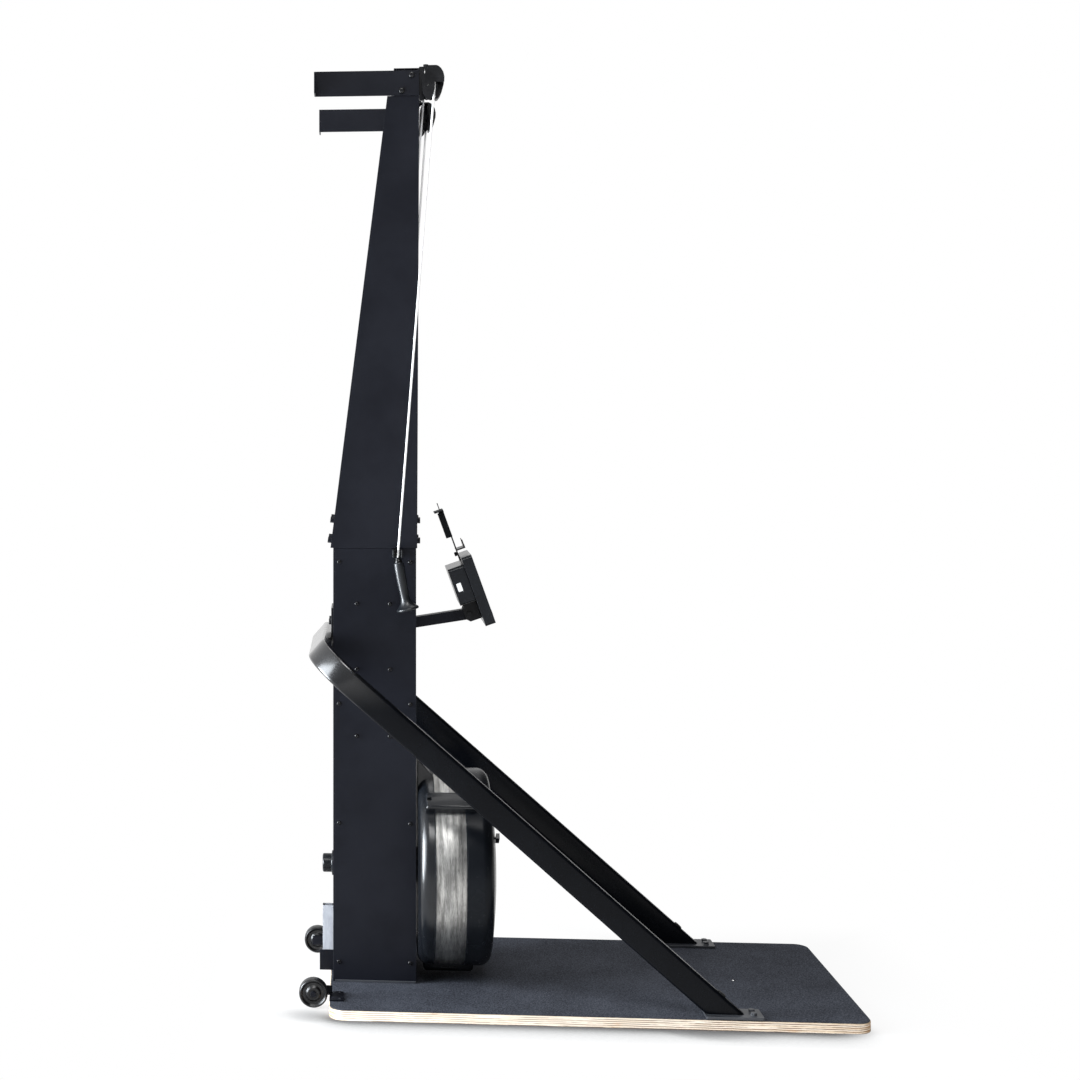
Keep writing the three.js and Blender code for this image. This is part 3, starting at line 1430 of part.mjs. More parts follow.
// The hoop's flat outline: two legs and a crossbar, half of a given width to each side of its line
function hoopOutline(half, inset) {
  const outline = new THREE.Shape();
  const bend = hoopSpread - hoopBendRadius;
  const outer = hoopBendRadius + half;
  const inner = hoopBendRadius - half;
  outline.moveTo(hoopSpread + half, -hoopLegLength - inset);
  outline.absarc(bend, -hoopBendRadius, outer, 0, quarterTurn);
  outline.absarc(-bend, -hoopBendRadius, outer, quarterTurn, 2 * quarterTurn);
  outline.lineTo(-hoopSpread - half, -hoopLegLength - inset);
  outline.lineTo(half - hoopSpread, -hoopLegLength - inset);
  outline.absarc(-bend, -hoopBendRadius, inner, 2 * quarterTurn, quarterTurn, true);
  outline.absarc(bend, -hoopBendRadius, inner, quarterTurn, 0, true);
  outline.lineTo(hoopSpread - half, -hoopLegLength - inset);
  outline.closePath();
  return outline;
}

// One bent tube: up a leg, round behind the column and down the other leg
function makeHoop() {
  const bevel = {
    bevelEnabled: true,
    bevelThickness: hoopTubeRound,
    bevelSize: hoopTubeRound,
    bevelOffset: -hoopTubeRound,
    bevelSegments: 2,
    curveSegments: 8,
  };
  const depth = hoopTubeHeight - 2 * hoopTubeRound;
  const start = hoopCross.clone().addScaledVector(hoopOut, -depth / 2);
  const outer = pushed(hoopOutline(hoopTubeWidth / 2, 0), depth, start, axisY, hoopUp, bevel);
  const hollowDepth = hoopTubeHeight - 2 * hoopTubeWall;
  const hollowStart = hoopCross.clone().addScaledVector(hoopOut, -hollowDepth / 2);
  const hollow = pushed(hoopOutline(hoopTubeWidth / 2 - hoopTubeWall, overrun), hollowDepth, hollowStart,
    axisY, hoopUp, { curveSegments: 8 });
  const footZ = boardTop + 2 * seatGap + footThickness;
  const below = block([0, boardLength / 2 + hoopTubeHeight], [-boardWidth, boardWidth],
    [-hoopTubeHeight, footZ]);
  place('stabiliser_hoop', outer.subtract(hollow).subtract(below), paint);
}

// The plate on the column's back that the hoop's crossbar is fixed to
function makeHoopMount() {
  const half = hoopMountWidth / 2;
  const x1 = columnBackX - seatGap;
  const z0 = hoopCrossZ + hoopMountRise;
  const z1 = z0 + hoopMountHeight;
  const bodies = [block([x1 - hoopMountThickness, x1], [-half, half], [z0, z1])];
  for (const side of [near, far]) {
    const origin = vector(x1 - hoopMountThickness, side * half / 2, (z0 + z1) / 2);
    bodies.push(boltHead(footBoltRadius, footBoltHeight, origin, axisX.clone().negate()));
  }
  place('hoop_mount', joined(bodies), darkSteel);
}

function makeFootPlate(side) {
  const bottom = boardTop + seatGap;
  const x = footFrontX - footLength / 2;
  const outline = roundedRect(footLength, footWidth, footCornerRadius);
  const plateFoot = vector(x, side * hoopSpread, bottom);
  const plate = pushed(outline, footThickness, plateFoot, axisX, axisY, windowCurve);
  const bolts = [near, far].map((step) => {
    const y = side * hoopSpread + step * footBoltPitch / 2;
    const origin = vector(footFrontX - footBoltInset, y, bottom + footThickness);
    return boltHead(footBoltRadius, footBoltHeight, origin, axisZ);
  });
  place('foot_plate_' + sideName(side), joined([plate, ...bolts]), paint);
}

const wheelX = -boardLength / 2 - wheelBehind;
const wheelZ = wheelRadius + wheelFloorGap;

function makeWheel(side) {
  const half = wheelWidth / 2;
  const round = wheelRound;
  const hub = wheelHubRadius;
  const dish = half - wheelDish;
  const profile = [
    [wheelBoreRadius, -half],
    [hub, -half],
    [hub + wheelDish, -dish],
    [wheelRadius - round - wheelDish, -dish],
    [wheelRadius - round, -half],
    [wheelRadius, round - half],
    [wheelRadius, half - round],
    [wheelRadius - round, half],
    [wheelRadius - round - wheelDish, dish],
    [hub + wheelDish, dish],
    [hub, half],
    [wheelBoreRadius, half],
    [wheelBoreRadius, -half],
  ];
  const centre = vector(wheelX, side * wheelSpread, wheelZ);
  place('wheel_' + sideName(side), turned(profile, centre, axisY, wheelSides), rubber);
}

// A plate on the board with an arm on each side of the wheel and the wheel's axle
function makeWheelBracket(side) {
  const y = side * wheelSpread;
  const bottom = boardTop + seatGap;
  const plateBack = -boardLength / 2;
  const plateX = [plateBack, plateBack + wheelPlateLength];
  const plateTop = bottom + wheelPlateThickness;
  const half = wheelPlateWidth / 2;
  const bodies = [block(plateX, [y - half, y + half], [bottom, plateTop])];
  const inner = wheelWidth / 2 + wheelSideGap;
  const outer = inner + wheelArmThickness;
  const armX = [wheelX - wheelArmNose, plateBack + wheelArmLap];
  bodies.push(block(armX, [y - side * inner, y - side * outer], [bottom, bottom + wheelArmHeight]));
  for (const step of [near, far]) {
    const screw = vector(plateX[1] - wheelScrewInset, y + step * wheelScrewPitch / 2, plateTop);
    bodies.push(screwHead(wheelScrewRadius, wheelScrewHeight, screw, axisZ));
  }
  const out = vector(0, side, 0);
  const headStart = wheelWidth / 2 + wheelSideGap / 2;
  const axle = vector(wheelX, y - side * outer, wheelZ);
  const head = vector(wheelX, y + side * headStart, wheelZ);
  const axleLength = outer + headStart + weldDepth;
  bodies.push(rod(wheelBoreRadius - wheelAxleClearance, axleLength, axle, out, holeSides));
  bodies.push(rod(axleHeadRadius, axleHeadHeight, head, out, boltSides));
  place('wheel_bracket_' + sideName(side), joined(bodies), paint);
}

// The bracket behind the column's foot: a low channel and an upright one above it
function makeRearBracket() {
  const x1 = columnBackX - seatGap;
  const bottom = boardTop + seatGap;
  const wall = rearBracketWall;
  const low = { x: x1 - rearBracketDepth, half: rearBracketWidth / 2, top: bottom + rearBracketHeight };
  const high = { x: x1 - rearUprightDepth, half: rearUprightWidth / 2, top: bottom + rearUprightHeight };
  const outers = [
    block([low.x, x1], [-low.half, low.half], [bottom, low.top]),
    block([high.x, x1], [-high.half, high.half], [bottom, high.top]),
  ];
  const highZ = [bottom + wall, high.top + overrun];
  const hollows = [
    block([low.x - overrun, x1 - wall], [wall - low.half, low.half - wall], [bottom + wall, low.top - wall]),
    block([high.x + wall, x1 - wall], [wall - high.half, high.half - wall], highZ),
  ];
  place('rear_foot_bracket', cutFrom(joined(outers), hollows), paint);
}

makeBoard();
makeColumnFrame();
makeTower();
makeHeadBeam();
makeMonitorArm();
const monitorGroup = makeMonitorGroup();
makeClevis(monitorGroup);
makeMonitor(monitorGroup);
makePhoneStand(monitorGroup);
makePhoneClamp(monitorGroup);
makeRearShell();
makeBand();
makeFrontShell();
makeRotor();
makeRearCap();
makeFrontBearing();
makeSpringCase();
makeDamper();
makeHoop();
makeHoopMount();
makeRearBracket();
for (const side of [near, far]) {
  makeColumnPanel(side);
  makeWallBracket(side);
  makePulley(side);
  makeYoke(side);
  makeCords(side);
  makeHandle(side);
  makeDock(side);
  makeDrum(side);
  makeFootPlate(side);
  makeWheel(side);
  makeWheelBracket(side);
}

export default machine;
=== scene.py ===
import math
import bmesh
import bpy
from mathutils import Matrix, Vector


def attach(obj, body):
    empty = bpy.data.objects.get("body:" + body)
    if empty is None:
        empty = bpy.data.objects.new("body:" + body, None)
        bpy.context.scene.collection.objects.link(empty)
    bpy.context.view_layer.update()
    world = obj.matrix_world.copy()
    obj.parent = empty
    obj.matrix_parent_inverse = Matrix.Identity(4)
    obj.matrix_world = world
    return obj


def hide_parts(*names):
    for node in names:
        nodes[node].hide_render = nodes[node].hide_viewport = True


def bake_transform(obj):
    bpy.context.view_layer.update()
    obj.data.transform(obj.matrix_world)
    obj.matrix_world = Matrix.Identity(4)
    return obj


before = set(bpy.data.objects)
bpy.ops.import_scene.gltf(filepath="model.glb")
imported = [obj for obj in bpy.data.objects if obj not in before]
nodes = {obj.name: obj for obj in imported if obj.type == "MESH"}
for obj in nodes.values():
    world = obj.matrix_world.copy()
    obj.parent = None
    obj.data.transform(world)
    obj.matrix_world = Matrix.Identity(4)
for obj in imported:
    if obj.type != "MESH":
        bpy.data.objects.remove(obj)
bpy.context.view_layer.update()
scene = bpy.context.scene
scene.view_settings.view_transform = "Standard"
mm = 0.001
axisX = Vector((1, 0, 0))
axisZ = Vector((0, 0, 1))
sides = {"near": -1, "far": 1}
print("frame:", len(nodes), "nodes")


def spot(x, y, z):
    return Vector((x, y, z)) * mm


# Camera, at the photograph's angle
cameraPlan = {"place": (-532.3, -4257.7, 1335.1), "turn": 4.47, "sensor": 36, "lens": 58.39, "shiftX": 0.2944,
              "shiftY": -0.1033, "clip": 200}


def placeCamera(plan):
    data = bpy.data.cameras.new("camera")
    data.sensor_width = plan["sensor"]
    data.lens = plan["lens"]
    data.shift_x = plan["shiftX"]
    data.shift_y = plan["shiftY"]
    data.clip_end = plan["clip"]
    camera = bpy.data.objects.new("camera", data)
    camera.location = spot(*plan["place"])
    camera.rotation_euler = (math.pi / 2, 0, math.radians(plan["turn"]))
    scene.collection.objects.link(camera)
    scene.camera = camera


placeCamera(cameraPlan)
print("camera placed")


# Shader maths: one socket that takes plain operators
class Wire:
    def __init__(self, finish, socket):
        self.finish = finish
        self.socket = socket

    def work(self, kind, *values):
        return self.finish.math(kind, *values)

    def __add__(self, other):
        return self.work("ADD", self, other)

    def __radd__(self, other):
        return self.work("ADD", other, self)

    def __sub__(self, other):
        return self.work("SUBTRACT", self, other)

    def __rsub__(self, other):
        return self.work("SUBTRACT", other, self)

    def __mul__(self, other):
        return self.work("MULTIPLY", self, other)

    def __rmul__(self, other):
        return self.work("MULTIPLY", other, self)

    def __truediv__(self, other):
        return self.work("DIVIDE", self, other)

    def __rtruediv__(self, other):
        return self.work("DIVIDE", other, self)

    def __pow__(self, other):
        return self.work("POWER", self, other)

    def step(self, low, high):  # 0 below low, 1 above high, soft between
        settings = {"interpolation_type": "SMOOTHSTEP"}
        return self.finish.node("ShaderNodeMapRange", settings, {0: self, 1: low, 2: high})


class Finish:
    def __init__(self, name, tree=None):
        if tree is None:
            self.material = bpy.data.materials.new(name)
            self.material.use_nodes = True
            tree = self.material.node_tree
            self.shader = tree.nodes["Principled BSDF"]
        self.tree = tree

    def node(self, kind, settings=None, sockets=None, out=0):
        made = self.tree.nodes.new(kind)
        for key, value in (settings or {}).items():
            setattr(made, key, value)
        for key, value in (sockets or {}).items():
            self.join(value, made.inputs[key])
        return Wire(self, made.outputs[out])

    def join(self, value, socket):
        if isinstance(value, Wire):
            self.tree.links.new(value.socket, socket)
        else:
            socket.default_value = value

    def math(self, kind, *values):
        return self.node("ShaderNodeMath", {"operation": kind}, dict(enumerate(values)))

    def place(self):
        return self.node("ShaderNodeTexCoord", out=3)

    def stretched(self, factors):
        return self.node("ShaderNodeVectorMath", {"operation": "MULTIPLY"}, {0: self.place(), 1: factors})

    def noise(self, scale, detail=3, rough=0.55, source=None):
        sockets = {"Vector": source or self.place(), "Scale": scale, "Detail": detail, "Roughness": rough}
        return self.node("ShaderNodeTexNoise", None, sockets)

    def cells(self, scale, feature="F1"):
        sockets = {"Vector": self.place(), "Scale": scale}
        return self.node("ShaderNodeTexVoronoi", {"feature": feature}, sockets)

    def parts(self, vector=None):
        vector = vector or self.place()
        return [self.node("ShaderNodeSeparateXYZ", None, {0: vector}, out) for out in range(3)]

    def facing(self):  # the surface's own direction, as three numbers
        return self.parts(self.node("ShaderNodeNewGeometry", out=1))

    def rays(self):  # 1 for rays from the camera, off a mirror and through glass
        path = self.node("ShaderNodeLightPath").socket.node
        return [Wire(self, path.outputs[f"Is {kind} Ray"]) for kind in ("Camera", "Glossy", "Transmission")]

    def mix(self, share, first, second):
        first, second = [(*value, 1) if isinstance(value, tuple) else value for value in (first, second)]
        return self.node("ShaderNodeMix", {"data_type": "RGBA"}, {0: share, 6: first, 7: second}, 2)

    def bump(self, height, depth, strength=1):  # the depth in millimetres
        sockets = {"Strength": strength, "Distance": depth * mm, "Height": height}
        return self.node("ShaderNodeBump", None, sockets)

    def edges(self, reach):  # 1 on outer edges, 0 on flats
        curved = self.node("ShaderNodeBevel", {"samples": 4}, {"Radius": reach * mm})
        flat = self.node("ShaderNodeNewGeometry", out=1)
        same = self.node("ShaderNodeVectorMath", {"operation": "DOT_PRODUCT"}, {0: curved, 1: flat}, 1)
        return (1 - same).step(0.02, 0.2)

    def feed(self, plan, **values):  # the plan's plain values, and those that are worked out
        plain = {name: plan[name] for name in shaderSockets if name in plan}
        for name, value in {**plain, **values}.items():
            self.join(value, self.shader.inputs[shaderSockets[name]])
        return self.material


shaderSockets = {"colour": "Base Color", "rough": "Roughness", "metal": "Metallic", "normal": "Normal",
                 "specular": "Specular IOR Level", "sheen": "Sheen Weight", "coat": "Coat Weight",
                 "coatRough": "Coat Roughness", "coatGloss": "Coat IOR"}

# Finishes
paintPlan = {"dark": (0.0048, 0.0054, 0.0084), "light": (0.0076, 0.0084, 0.0122),
             "edge": (0.03, 0.033, 0.038), "rough": 0.4, "peel": 900, "peelDepth": 0.05, "specular": 0.12}
# the hoop has a clear coat as well, which starts between two heights
glossPlan = {**paintPlan, "dark": (0.0012, 0.0016, 0.0027), "light": (0.0022, 0.0028, 0.0042), "rough": 0.26,
             "specular": 0.13, "coatFrom": (0.69, 0.8), "coatRough": 0.2, "coatGloss": 1.7}
# a paler copy of the black powder coat with bright edges: painted highlight, for the foot plates and the
# strip at the column's foot
footPaintPlan = {**paintPlan, "dark": (0.022, 0.024, 0.029), "light": (0.045, 0.048, 0.055),
                 "edge": (0.2, 0.21, 0.23), "rough": 0.3, "specular": 0.5}


def powderCoat(name, plan):
    finish = Finish(name)
    coat = finish.parts()[2].step(*plan["coatFrom"]) if "coatFrom" in plan else 0
    cloud = finish.noise(4.5, 4, 0.6)
    smear = finish.noise(26, 3, 0.6, finish.stretched((1, 1, 0.35)))
    peel = finish.noise(plan["peel"], 2)
    colour = finish.mix(cloud.step(0.35, 0.65), plan["dark"], plan["light"])
    dust = finish.noise(33, 5, 0.75, finish.stretched((1, 1, 0.6))).step(0.6, 0.8)
    # dust flecks and rounded edges both go to the paler edge colour; on the edges it is a painted highlight
    colour = finish.mix(dust * 0.05, colour, plan["edge"])
    colour = finish.mix(finish.edges(0.9) * 0.7, colour, plan["edge"])
    rough = plan["rough"] + (cloud - 0.5) * 0.12 + (smear - 0.5) * 0.1 + (peel - 0.5) * 0.05
    normal = finish.bump(peel, plan["peelDepth"])
    return finish.feed(plan, colour=colour, rough=rough, normal=normal, coat=coat)


darkSteelPlan = {"dark": (0.003, 0.0032, 0.004), "light": (0.009, 0.0095, 0.011),
                 "edge": (0.05, 0.052, 0.056), "metal": 0.08, "rough": 0.32, "specular": 0.2}
screwPaintPlan = {**darkSteelPlan, "dark": (0.0015, 0.0016, 0.002), "light": (0.004, 0.0042, 0.005),
                  "rough": 0.26, "specular": 0.4}


def blackenedSteel(name, plan):
    finish = Finish(name)
    cloud = finish.noise(30, 4, 0.65)
    brush = finish.noise(160, 3, 0.6, finish.stretched((0.25, 1, 1)))
    colour = finish.mix((cloud + brush * 0.4).step(0.45, 0.95), plan["dark"], plan["light"])
    # painted highlight: rounded edges are mixed towards the paler edge colour
    colour = finish.mix(finish.edges(0.7) * 0.6, colour, plan["edge"])
    rough = plan["rough"] + (cloud - 0.5) * 0.2
    normal = finish.bump(brush, 0.03)
    return finish.feed(plan, colour=colour, rough=rough, normal=normal)


# painted reflection: the rear bracket's sides are a paler grey above a line at this height, where they would
# mirror the light
bracketPlan = {**paintPlan, "paintedSheenFrom": (0.0734, 0.0744), "paintedSheen": (0.3, 0.31, 0.34),
               "bare": (0.42, 0.43, 0.46)}


def bracketPaint(name, plan):
    finish = Finish(name)
    cloud = finish.noise(9, 4, 0.6)
    scuff = finish.noise(70, 5, 0.7, finish.stretched((1, 1, 0.3)))
    # painted reflection: the side faces above the line go to a pale grey, varied between two greys by the
    # scuff noise
    side = finish.math("ABSOLUTE", finish.facing()[1]).step(0.6, 0.9)
    side = side * finish.parts()[2].step(*plan["paintedSheenFrom"])
    base = finish.mix(cloud.step(0.35, 0.65), plan["dark"], plan["light"])
    colour = finish.mix(side, base, finish.mix(scuff.step(0.35, 0.75), plan["paintedSheen"], plan["bare"]))
    rough = plan["rough"] + (scuff - 0.5) * 0.2
    return finish.feed(plan, colour=colour, rough=rough, normal=finish.bump(scuff, 0.03))


plasticPlan = {"dark": (0.0038, 0.0046, 0.0062), "light": (0.0066, 0.0078, 0.01), "rough": 0.24,
               "grain": 1400, "grainDepth": 0.02, "specular": 0.22, "edge": (0.09, 0.095, 0.105),
               "dust": (0.09, 0.09, 0.09)}
shellPlan = {**plasticPlan, "specular": 0.5}
frontPlan = {**plasticPlan, "rough": 0.26, "specular": 0.1, "edge": (0.03, 0.032, 0.036)}
mattePlan = {**plasticPlan, "rough": 0.55, "specular": 0.1}


def mouldedPlastic(name, plan):
    finish = Finish(name)
    flow = finish.noise(7, 3, 0.5)
    grain = finish.cells(plan["grain"], "SMOOTH_F1")
    dust = finish.noise(95, 4, 0.7).step(0.62, 0.8)
    colour = finish.mix(flow.step(0.3, 0.7), plan["dark"], plan["light"])
    colour = finish.mix(dust * 0.12, colour, plan["dust"])
    # painted highlight: rounded edges are mixed towards the paler edge colour
    colour = finish.mix(finish.edges(1.2) * 0.6, colour, plan["edge"])
    rough = plan["rough"] + (flow - 0.5) * 0.08 + dust * 0.1
    normal = finish.bump(grain, plan["grainDepth"])
    return finish.feed(plan, colour=colour, rough=rough, normal=normal)


rubberPlan = {"dark": (0.004, 0.0042, 0.0048), "light": (0.009, 0.0092, 0.01), "rough": 0.4, "specular": 0.3,
              "vary": 0.18, "tooth": 0.04}
gripPlan = {"dark": (0.003, 0.0042, 0.0062), "light": (0.005, 0.0066, 0.009), "rough": 0.34, "specular": 0.5,
            "vary": 0.06, "tooth": 0.006}
tyrePlan = {**rubberPlan, "dark": (0.002, 0.0021, 0.0025), "rough": 0.3, "specular": 0.45, "tooth": 0.02}


def blackRubber(name, plan):
    finish = Finish(name)
    cloud = finish.noise(40, 4, 0.6)
    speck = finish.noise(1100, 2)
    colour = finish.mix(cloud.step(0.3, 0.7), plan["dark"], plan["light"])
    rough = plan["rough"] + (cloud - 0.5) * plan["vary"]
    normal = finish.bump(speck, plan["tooth"])
    return finish.feed(plan, colour=colour, rough=rough, normal=normal)


matPlan = {"dark": (0.019, 0.0208, 0.027), "light": (0.064, 0.07, 0.087), "speck": (0.15, 0.16, 0.18),
           "rough": 0.86, "tooth": 300, "toothDepth": 0.3, "specular": 0.14}


def gripSurface(name, plan):
    finish = Finish(name)
    cloud = finish.noise(9, 5, 0.7)
    tooth = finish.noise(plan["tooth"], 3, 0.7)
    pits = finish.cells(plan["tooth"])
    colour = finish.mix((cloud * 0.2 + tooth * 0.8).step(0.4, 0.6), plan["dark"], plan["light"])
    colour = finish.mix(tooth.step(0.62, 0.74) * 0.35, colour, plan["speck"])
    rough = plan["rough"] - tooth.step(0.55, 0.75) * 0.12
    normal = finish.bump(tooth + pits * 0.4, plan["toothDepth"])
    return finish.feed(plan, colour=colour, rough=rough, normal=normal)


plyPlan = {"sheets": 5, "thickness": 22, "pale": (0.9, 0.81, 0.7), "deep": (0.78, 0.66, 0.52),
           "warm": (0.78, 0.5, 0.22), "glue": (0.15, 0.06, 0.015), "knot": (0.56, 0.3, 0.14),
           "end": (0.8, 0.66, 0.47), "endDeep": (0.36, 0.2, 0.08), "face": (0.74, 0.62, 0.46),
           "faceDeep": (0.6, 0.46, 0.31), "specular": 0.3}


def birchPly(name, plan):
    finish = Finish(name)
    x, _, z = finish.parts()
    # the sheets' edges, with every other sheet cut across its grain
    wave = (finish.noise(5, 3) - 0.5) * 0.0045 + (finish.noise(28, 3) - 0.5) * 0.0016
    sheet = (z + wave) / (plan["thickness"] * mm) * plan["sheets"]
    inside = finish.math("FRACT", sheet)
    odd = finish.math("PINGPONG", sheet, 1).step(0.44, 0.56)
    line = 1 - inside.step(0.14, 0.5) * (1 - inside.step(0.84, 0.98))
    broken = finish.noise(22, 4, 0.7, finish.stretched((0.4, 0.4, 5))).step(0.36, 0.52)
    fibre = finish.noise(190, 4, 0.65, finish.stretched((0.06, 0.06, 1)))
    pores = finish.noise(900, 3, 0.7)
    grain = finish.mix(fibre.step(0.4, 0.75), plan["pale"], plan["deep"])
    ends = finish.mix(pores.step(0.4, 0.7), plan["pale"], plan["end"])
    edge = finish.mix(odd * 0.75, grain, ends)
    edge = finish.mix(x.step(0.1, 0.6) * (0.04 + odd * 0.3), edge, plan["warm"])
    edge = finish.mix(line * broken * (0.7 + 0.3 * x.step(-0.3, 0.5)), edge, plan["glue"])
    turned = finish.math("ABSOLUTE", finish.facing()[0]).step(0.25, 0.8)
    edge = finish.mix(turned * (0.45 + odd * 0.4), edge, plan["endDeep"])
    knots = finish.noise(13, 3, 0.6, finish.stretched((1, 1, 5))).step(0.62, 0.74)
    edge = finish.mix(knots * 0.5, edge, plan["knot"])
    # the outer veneers, above and below
    rings = finish.noise(3.2, 3, 0.6, finish.stretched((0.6, 6, 1)))
    sockets = {"Vector": finish.stretched((0.3, 1, 1)), "Scale": 34, "Distortion": 7, "Detail": 3}
    bands = finish.node("ShaderNodeTexWave", {"wave_type": "BANDS", "bands_direction": "Y"}, sockets, 1)
    veneer = finish.mix((rings * 0.6 + bands * 0.4).step(0.25, 0.8), plan["face"], plan["faceDeep"])
    up = finish.math("ABSOLUTE", finish.facing()[2]).step(0.6, 0.8)
    normal = finish.bump(pores * 0.4 - line * 0.6, 0.15)
    colour = finish.mix(up, edge, veneer)
    return finish.feed(plan, colour=colour, rough=0.5 + pores * 0.2, normal=normal)


steelPlan = {"pale": (0.66, 0.66, 0.655), "dim": (0.48, 0.48, 0.485), "metal": 1, "rough": 0.27}


def brightSteel(name, plan):
    finish = Finish(name)
    brush = finish.noise(240, 4, 0.7, finish.stretched((0.12, 1, 1)))
    cloud = finish.noise(22, 3)
    colour = finish.mix((brush * 0.6 + cloud * 0.4).step(0.35, 0.7), plan["pale"], plan["dim"])
    rough = plan["rough"] + (brush - 0.5) * 0.16
    return finish.feed(plan, colour=colour, rough=rough, normal=finish.bump(brush, 0.02))


bandPlan = {"axis": 0.282, "radius": 0.2277, "pitch": 2.6, "rowShare": 0.866, "hole": 0.3, "blur": 0.05,
            "pale": (0.82, 0.81, 0.78), "dim": (0.27, 0.265, 0.255), "hollow": (0.03, 0.03, 0.03),
            "paintedLowShade": (0.05, 0.047, 0.042), "paintedLowShadeTo": (0.06, 0.24), "rough": 0.36}


def perforatedBand(name, plan):
    finish = Finish(name)
    x, y, z = finish.parts()
    # rows of holes round the band, each row half a pitch on from the last
    angle = finish.math("ARCTAN2", y, z - plan["axis"])
    around = angle * (plan["radius"] / (plan["pitch"] * mm))
    row = x / (plan["pitch"] * mm * plan["rowShare"])
    rowHere = finish.math("FLOOR", row)
    shift = finish.math("MODULO", rowHere, 2) * 0.5
    across = finish.math("FRACT", around + shift) - 0.5
    along = row - rowHere - 0.5
    reach = (across * across + along * along * 0.75) ** 0.5
    hole = 1 - reach.step(plan["hole"] - plan["blur"], plan["hole"] + plan["blur"])
    # streaks round the band, as brushed sheet shows them, and broader clouds across them
    vector = finish.node("ShaderNodeCombineXYZ", None, {0: x * 9, 1: angle * 0.16})
    broad = finish.noise(14, 4, 0.62, vector)
    fine = finish.noise(75, 3, 0.7, vector)
    cloud = finish.noise(13, 5, 0.7)
    # painted shade: the band darkens towards its bottom, as if mirroring the dark mat below
    low = 1 - z.step(*plan["paintedLowShadeTo"])
    colour = finish.mix((broad * 0.5 + fine * 0.3 + cloud * 0.2).step(0.4, 0.62), plan["dim"], plan["pale"])
    colour = finish.mix(low * (0.35 + cloud * 0.4), colour, plan["paintedLowShade"])
    # the holes are painted near black: the black rotor and painted shade inside the cage, seen through them
    colour = finish.mix(hole * 0.85, colour, plan["hollow"])
    rough = plan["rough"] + (fine - 0.5) * 0.3 + hole * 0.4
    normal = finish.bump(1 - hole + fine * 0.4, 0.2, 0.6)
    return finish.feed(plan, colour=colour, metal=1 - hole * 0.9, rough=rough, normal=normal)


cordPlan = {"pale": (0.95, 0.95, 0.945), "shade": (0.8, 0.8, 0.8), "turns": 6, "rise": 7, "sheen": 0.2}


def braidedCord(name, plan):
    finish = Finish(name)
    around, along, _ = finish.parts(finish.node("ShaderNodeUVMap", {"uv_map": "run"}))
    rise = along / (plan["rise"] * mm)
    left = finish.math("SINE", (around * plan["turns"] + rise) * math.tau)
    right = finish.math("SINE", (around * plan["turns"] - rise) * math.tau)
    weave = left * right
    fuzz = finish.noise(2600, 2)
    colour = finish.mix(weave.step(-0.5, 0.2), plan["shade"], plan["pale"])
    colour = finish.mix(fuzz.step(0.55, 0.8) * 0.25, colour, plan["shade"])
    normal = finish.bump(weave * 0.5 + fuzz * 0.3, 0.25)
    return finish.feed(plan, colour=colour, rough=0.72 + fuzz * 0.15, normal=normal)


labelPaperPlan = {"pale": (0.86, 0.86, 0.85), "dim": (0.78, 0.78, 0.78), "rough": 0.45, "specular": 0.3}


def paperLabel(name, plan):
    finish = Finish(name)
    fleck = finish.noise(400, 4, 0.7)
    curl = finish.noise(60, 2)
    colour = finish.mix(fleck.step(0.35, 0.7), plan["pale"], plan["dim"])
    rough = plan["rough"] + curl * 0.2
    return finish.feed(plan, colour=colour, rough=rough, normal=finish.bump(fleck, 0.03))


monitorPlan = {"tilt": 19.8, "pivot": (-268, 0, 889.4)}
screenPlan = {**monitorPlan, "border": 9, "half": (69, 46), "middle": 71.4, "blur": 0.0004, "pixel": 0.6,
              "glass": (0.006, 0.007, 0.008), "panel": (0.21, 0.235, 0.2), "panelDim": (0.15, 0.17, 0.145),
              "grid": (0.05, 0.06, 0.05), "rough": 0.06, "specular": 0.5, "coat": 0.6, "coatRough": 0.04}


def screenFace(name, plan):
    # a display panel with its grid of pixels behind glass, dark to its border
    finish = Finish(name)
    x, y, z = finish.parts()
    lean = math.radians(plan["tilt"])
    pivotX, _, pivotZ = plan["pivot"]
    up = (z - pivotZ * mm) * math.cos(lean) - (x - pivotX * mm) * math.sin(lean) - plan["middle"] * mm
    panel = 1
    grid = 0
    for value, half in zip((y, up), plan["half"]):
        reach = (half - plan["border"]) * mm
        panel = panel * (1 - finish.math("ABSOLUTE", value).step(reach - plan["blur"], reach + plan["blur"]))
        grid = grid + finish.math("FRACT", value / (plan["pixel"] * mm)).step(0.82, 0.95)
    shade = finish.noise(14, 2)
    colour = finish.mix(shade.step(0.3, 0.7), plan["panel"], plan["panelDim"])
    colour = finish.mix(grid * 0.12, colour, plan["grid"])
    colour = finish.mix(panel, plan["glass"], colour)
    smudge = finish.noise(60, 4, 0.7).step(0.5, 0.75)
    return finish.feed(plan, colour=colour, rough=plan["rough"] + smudge * 0.12)


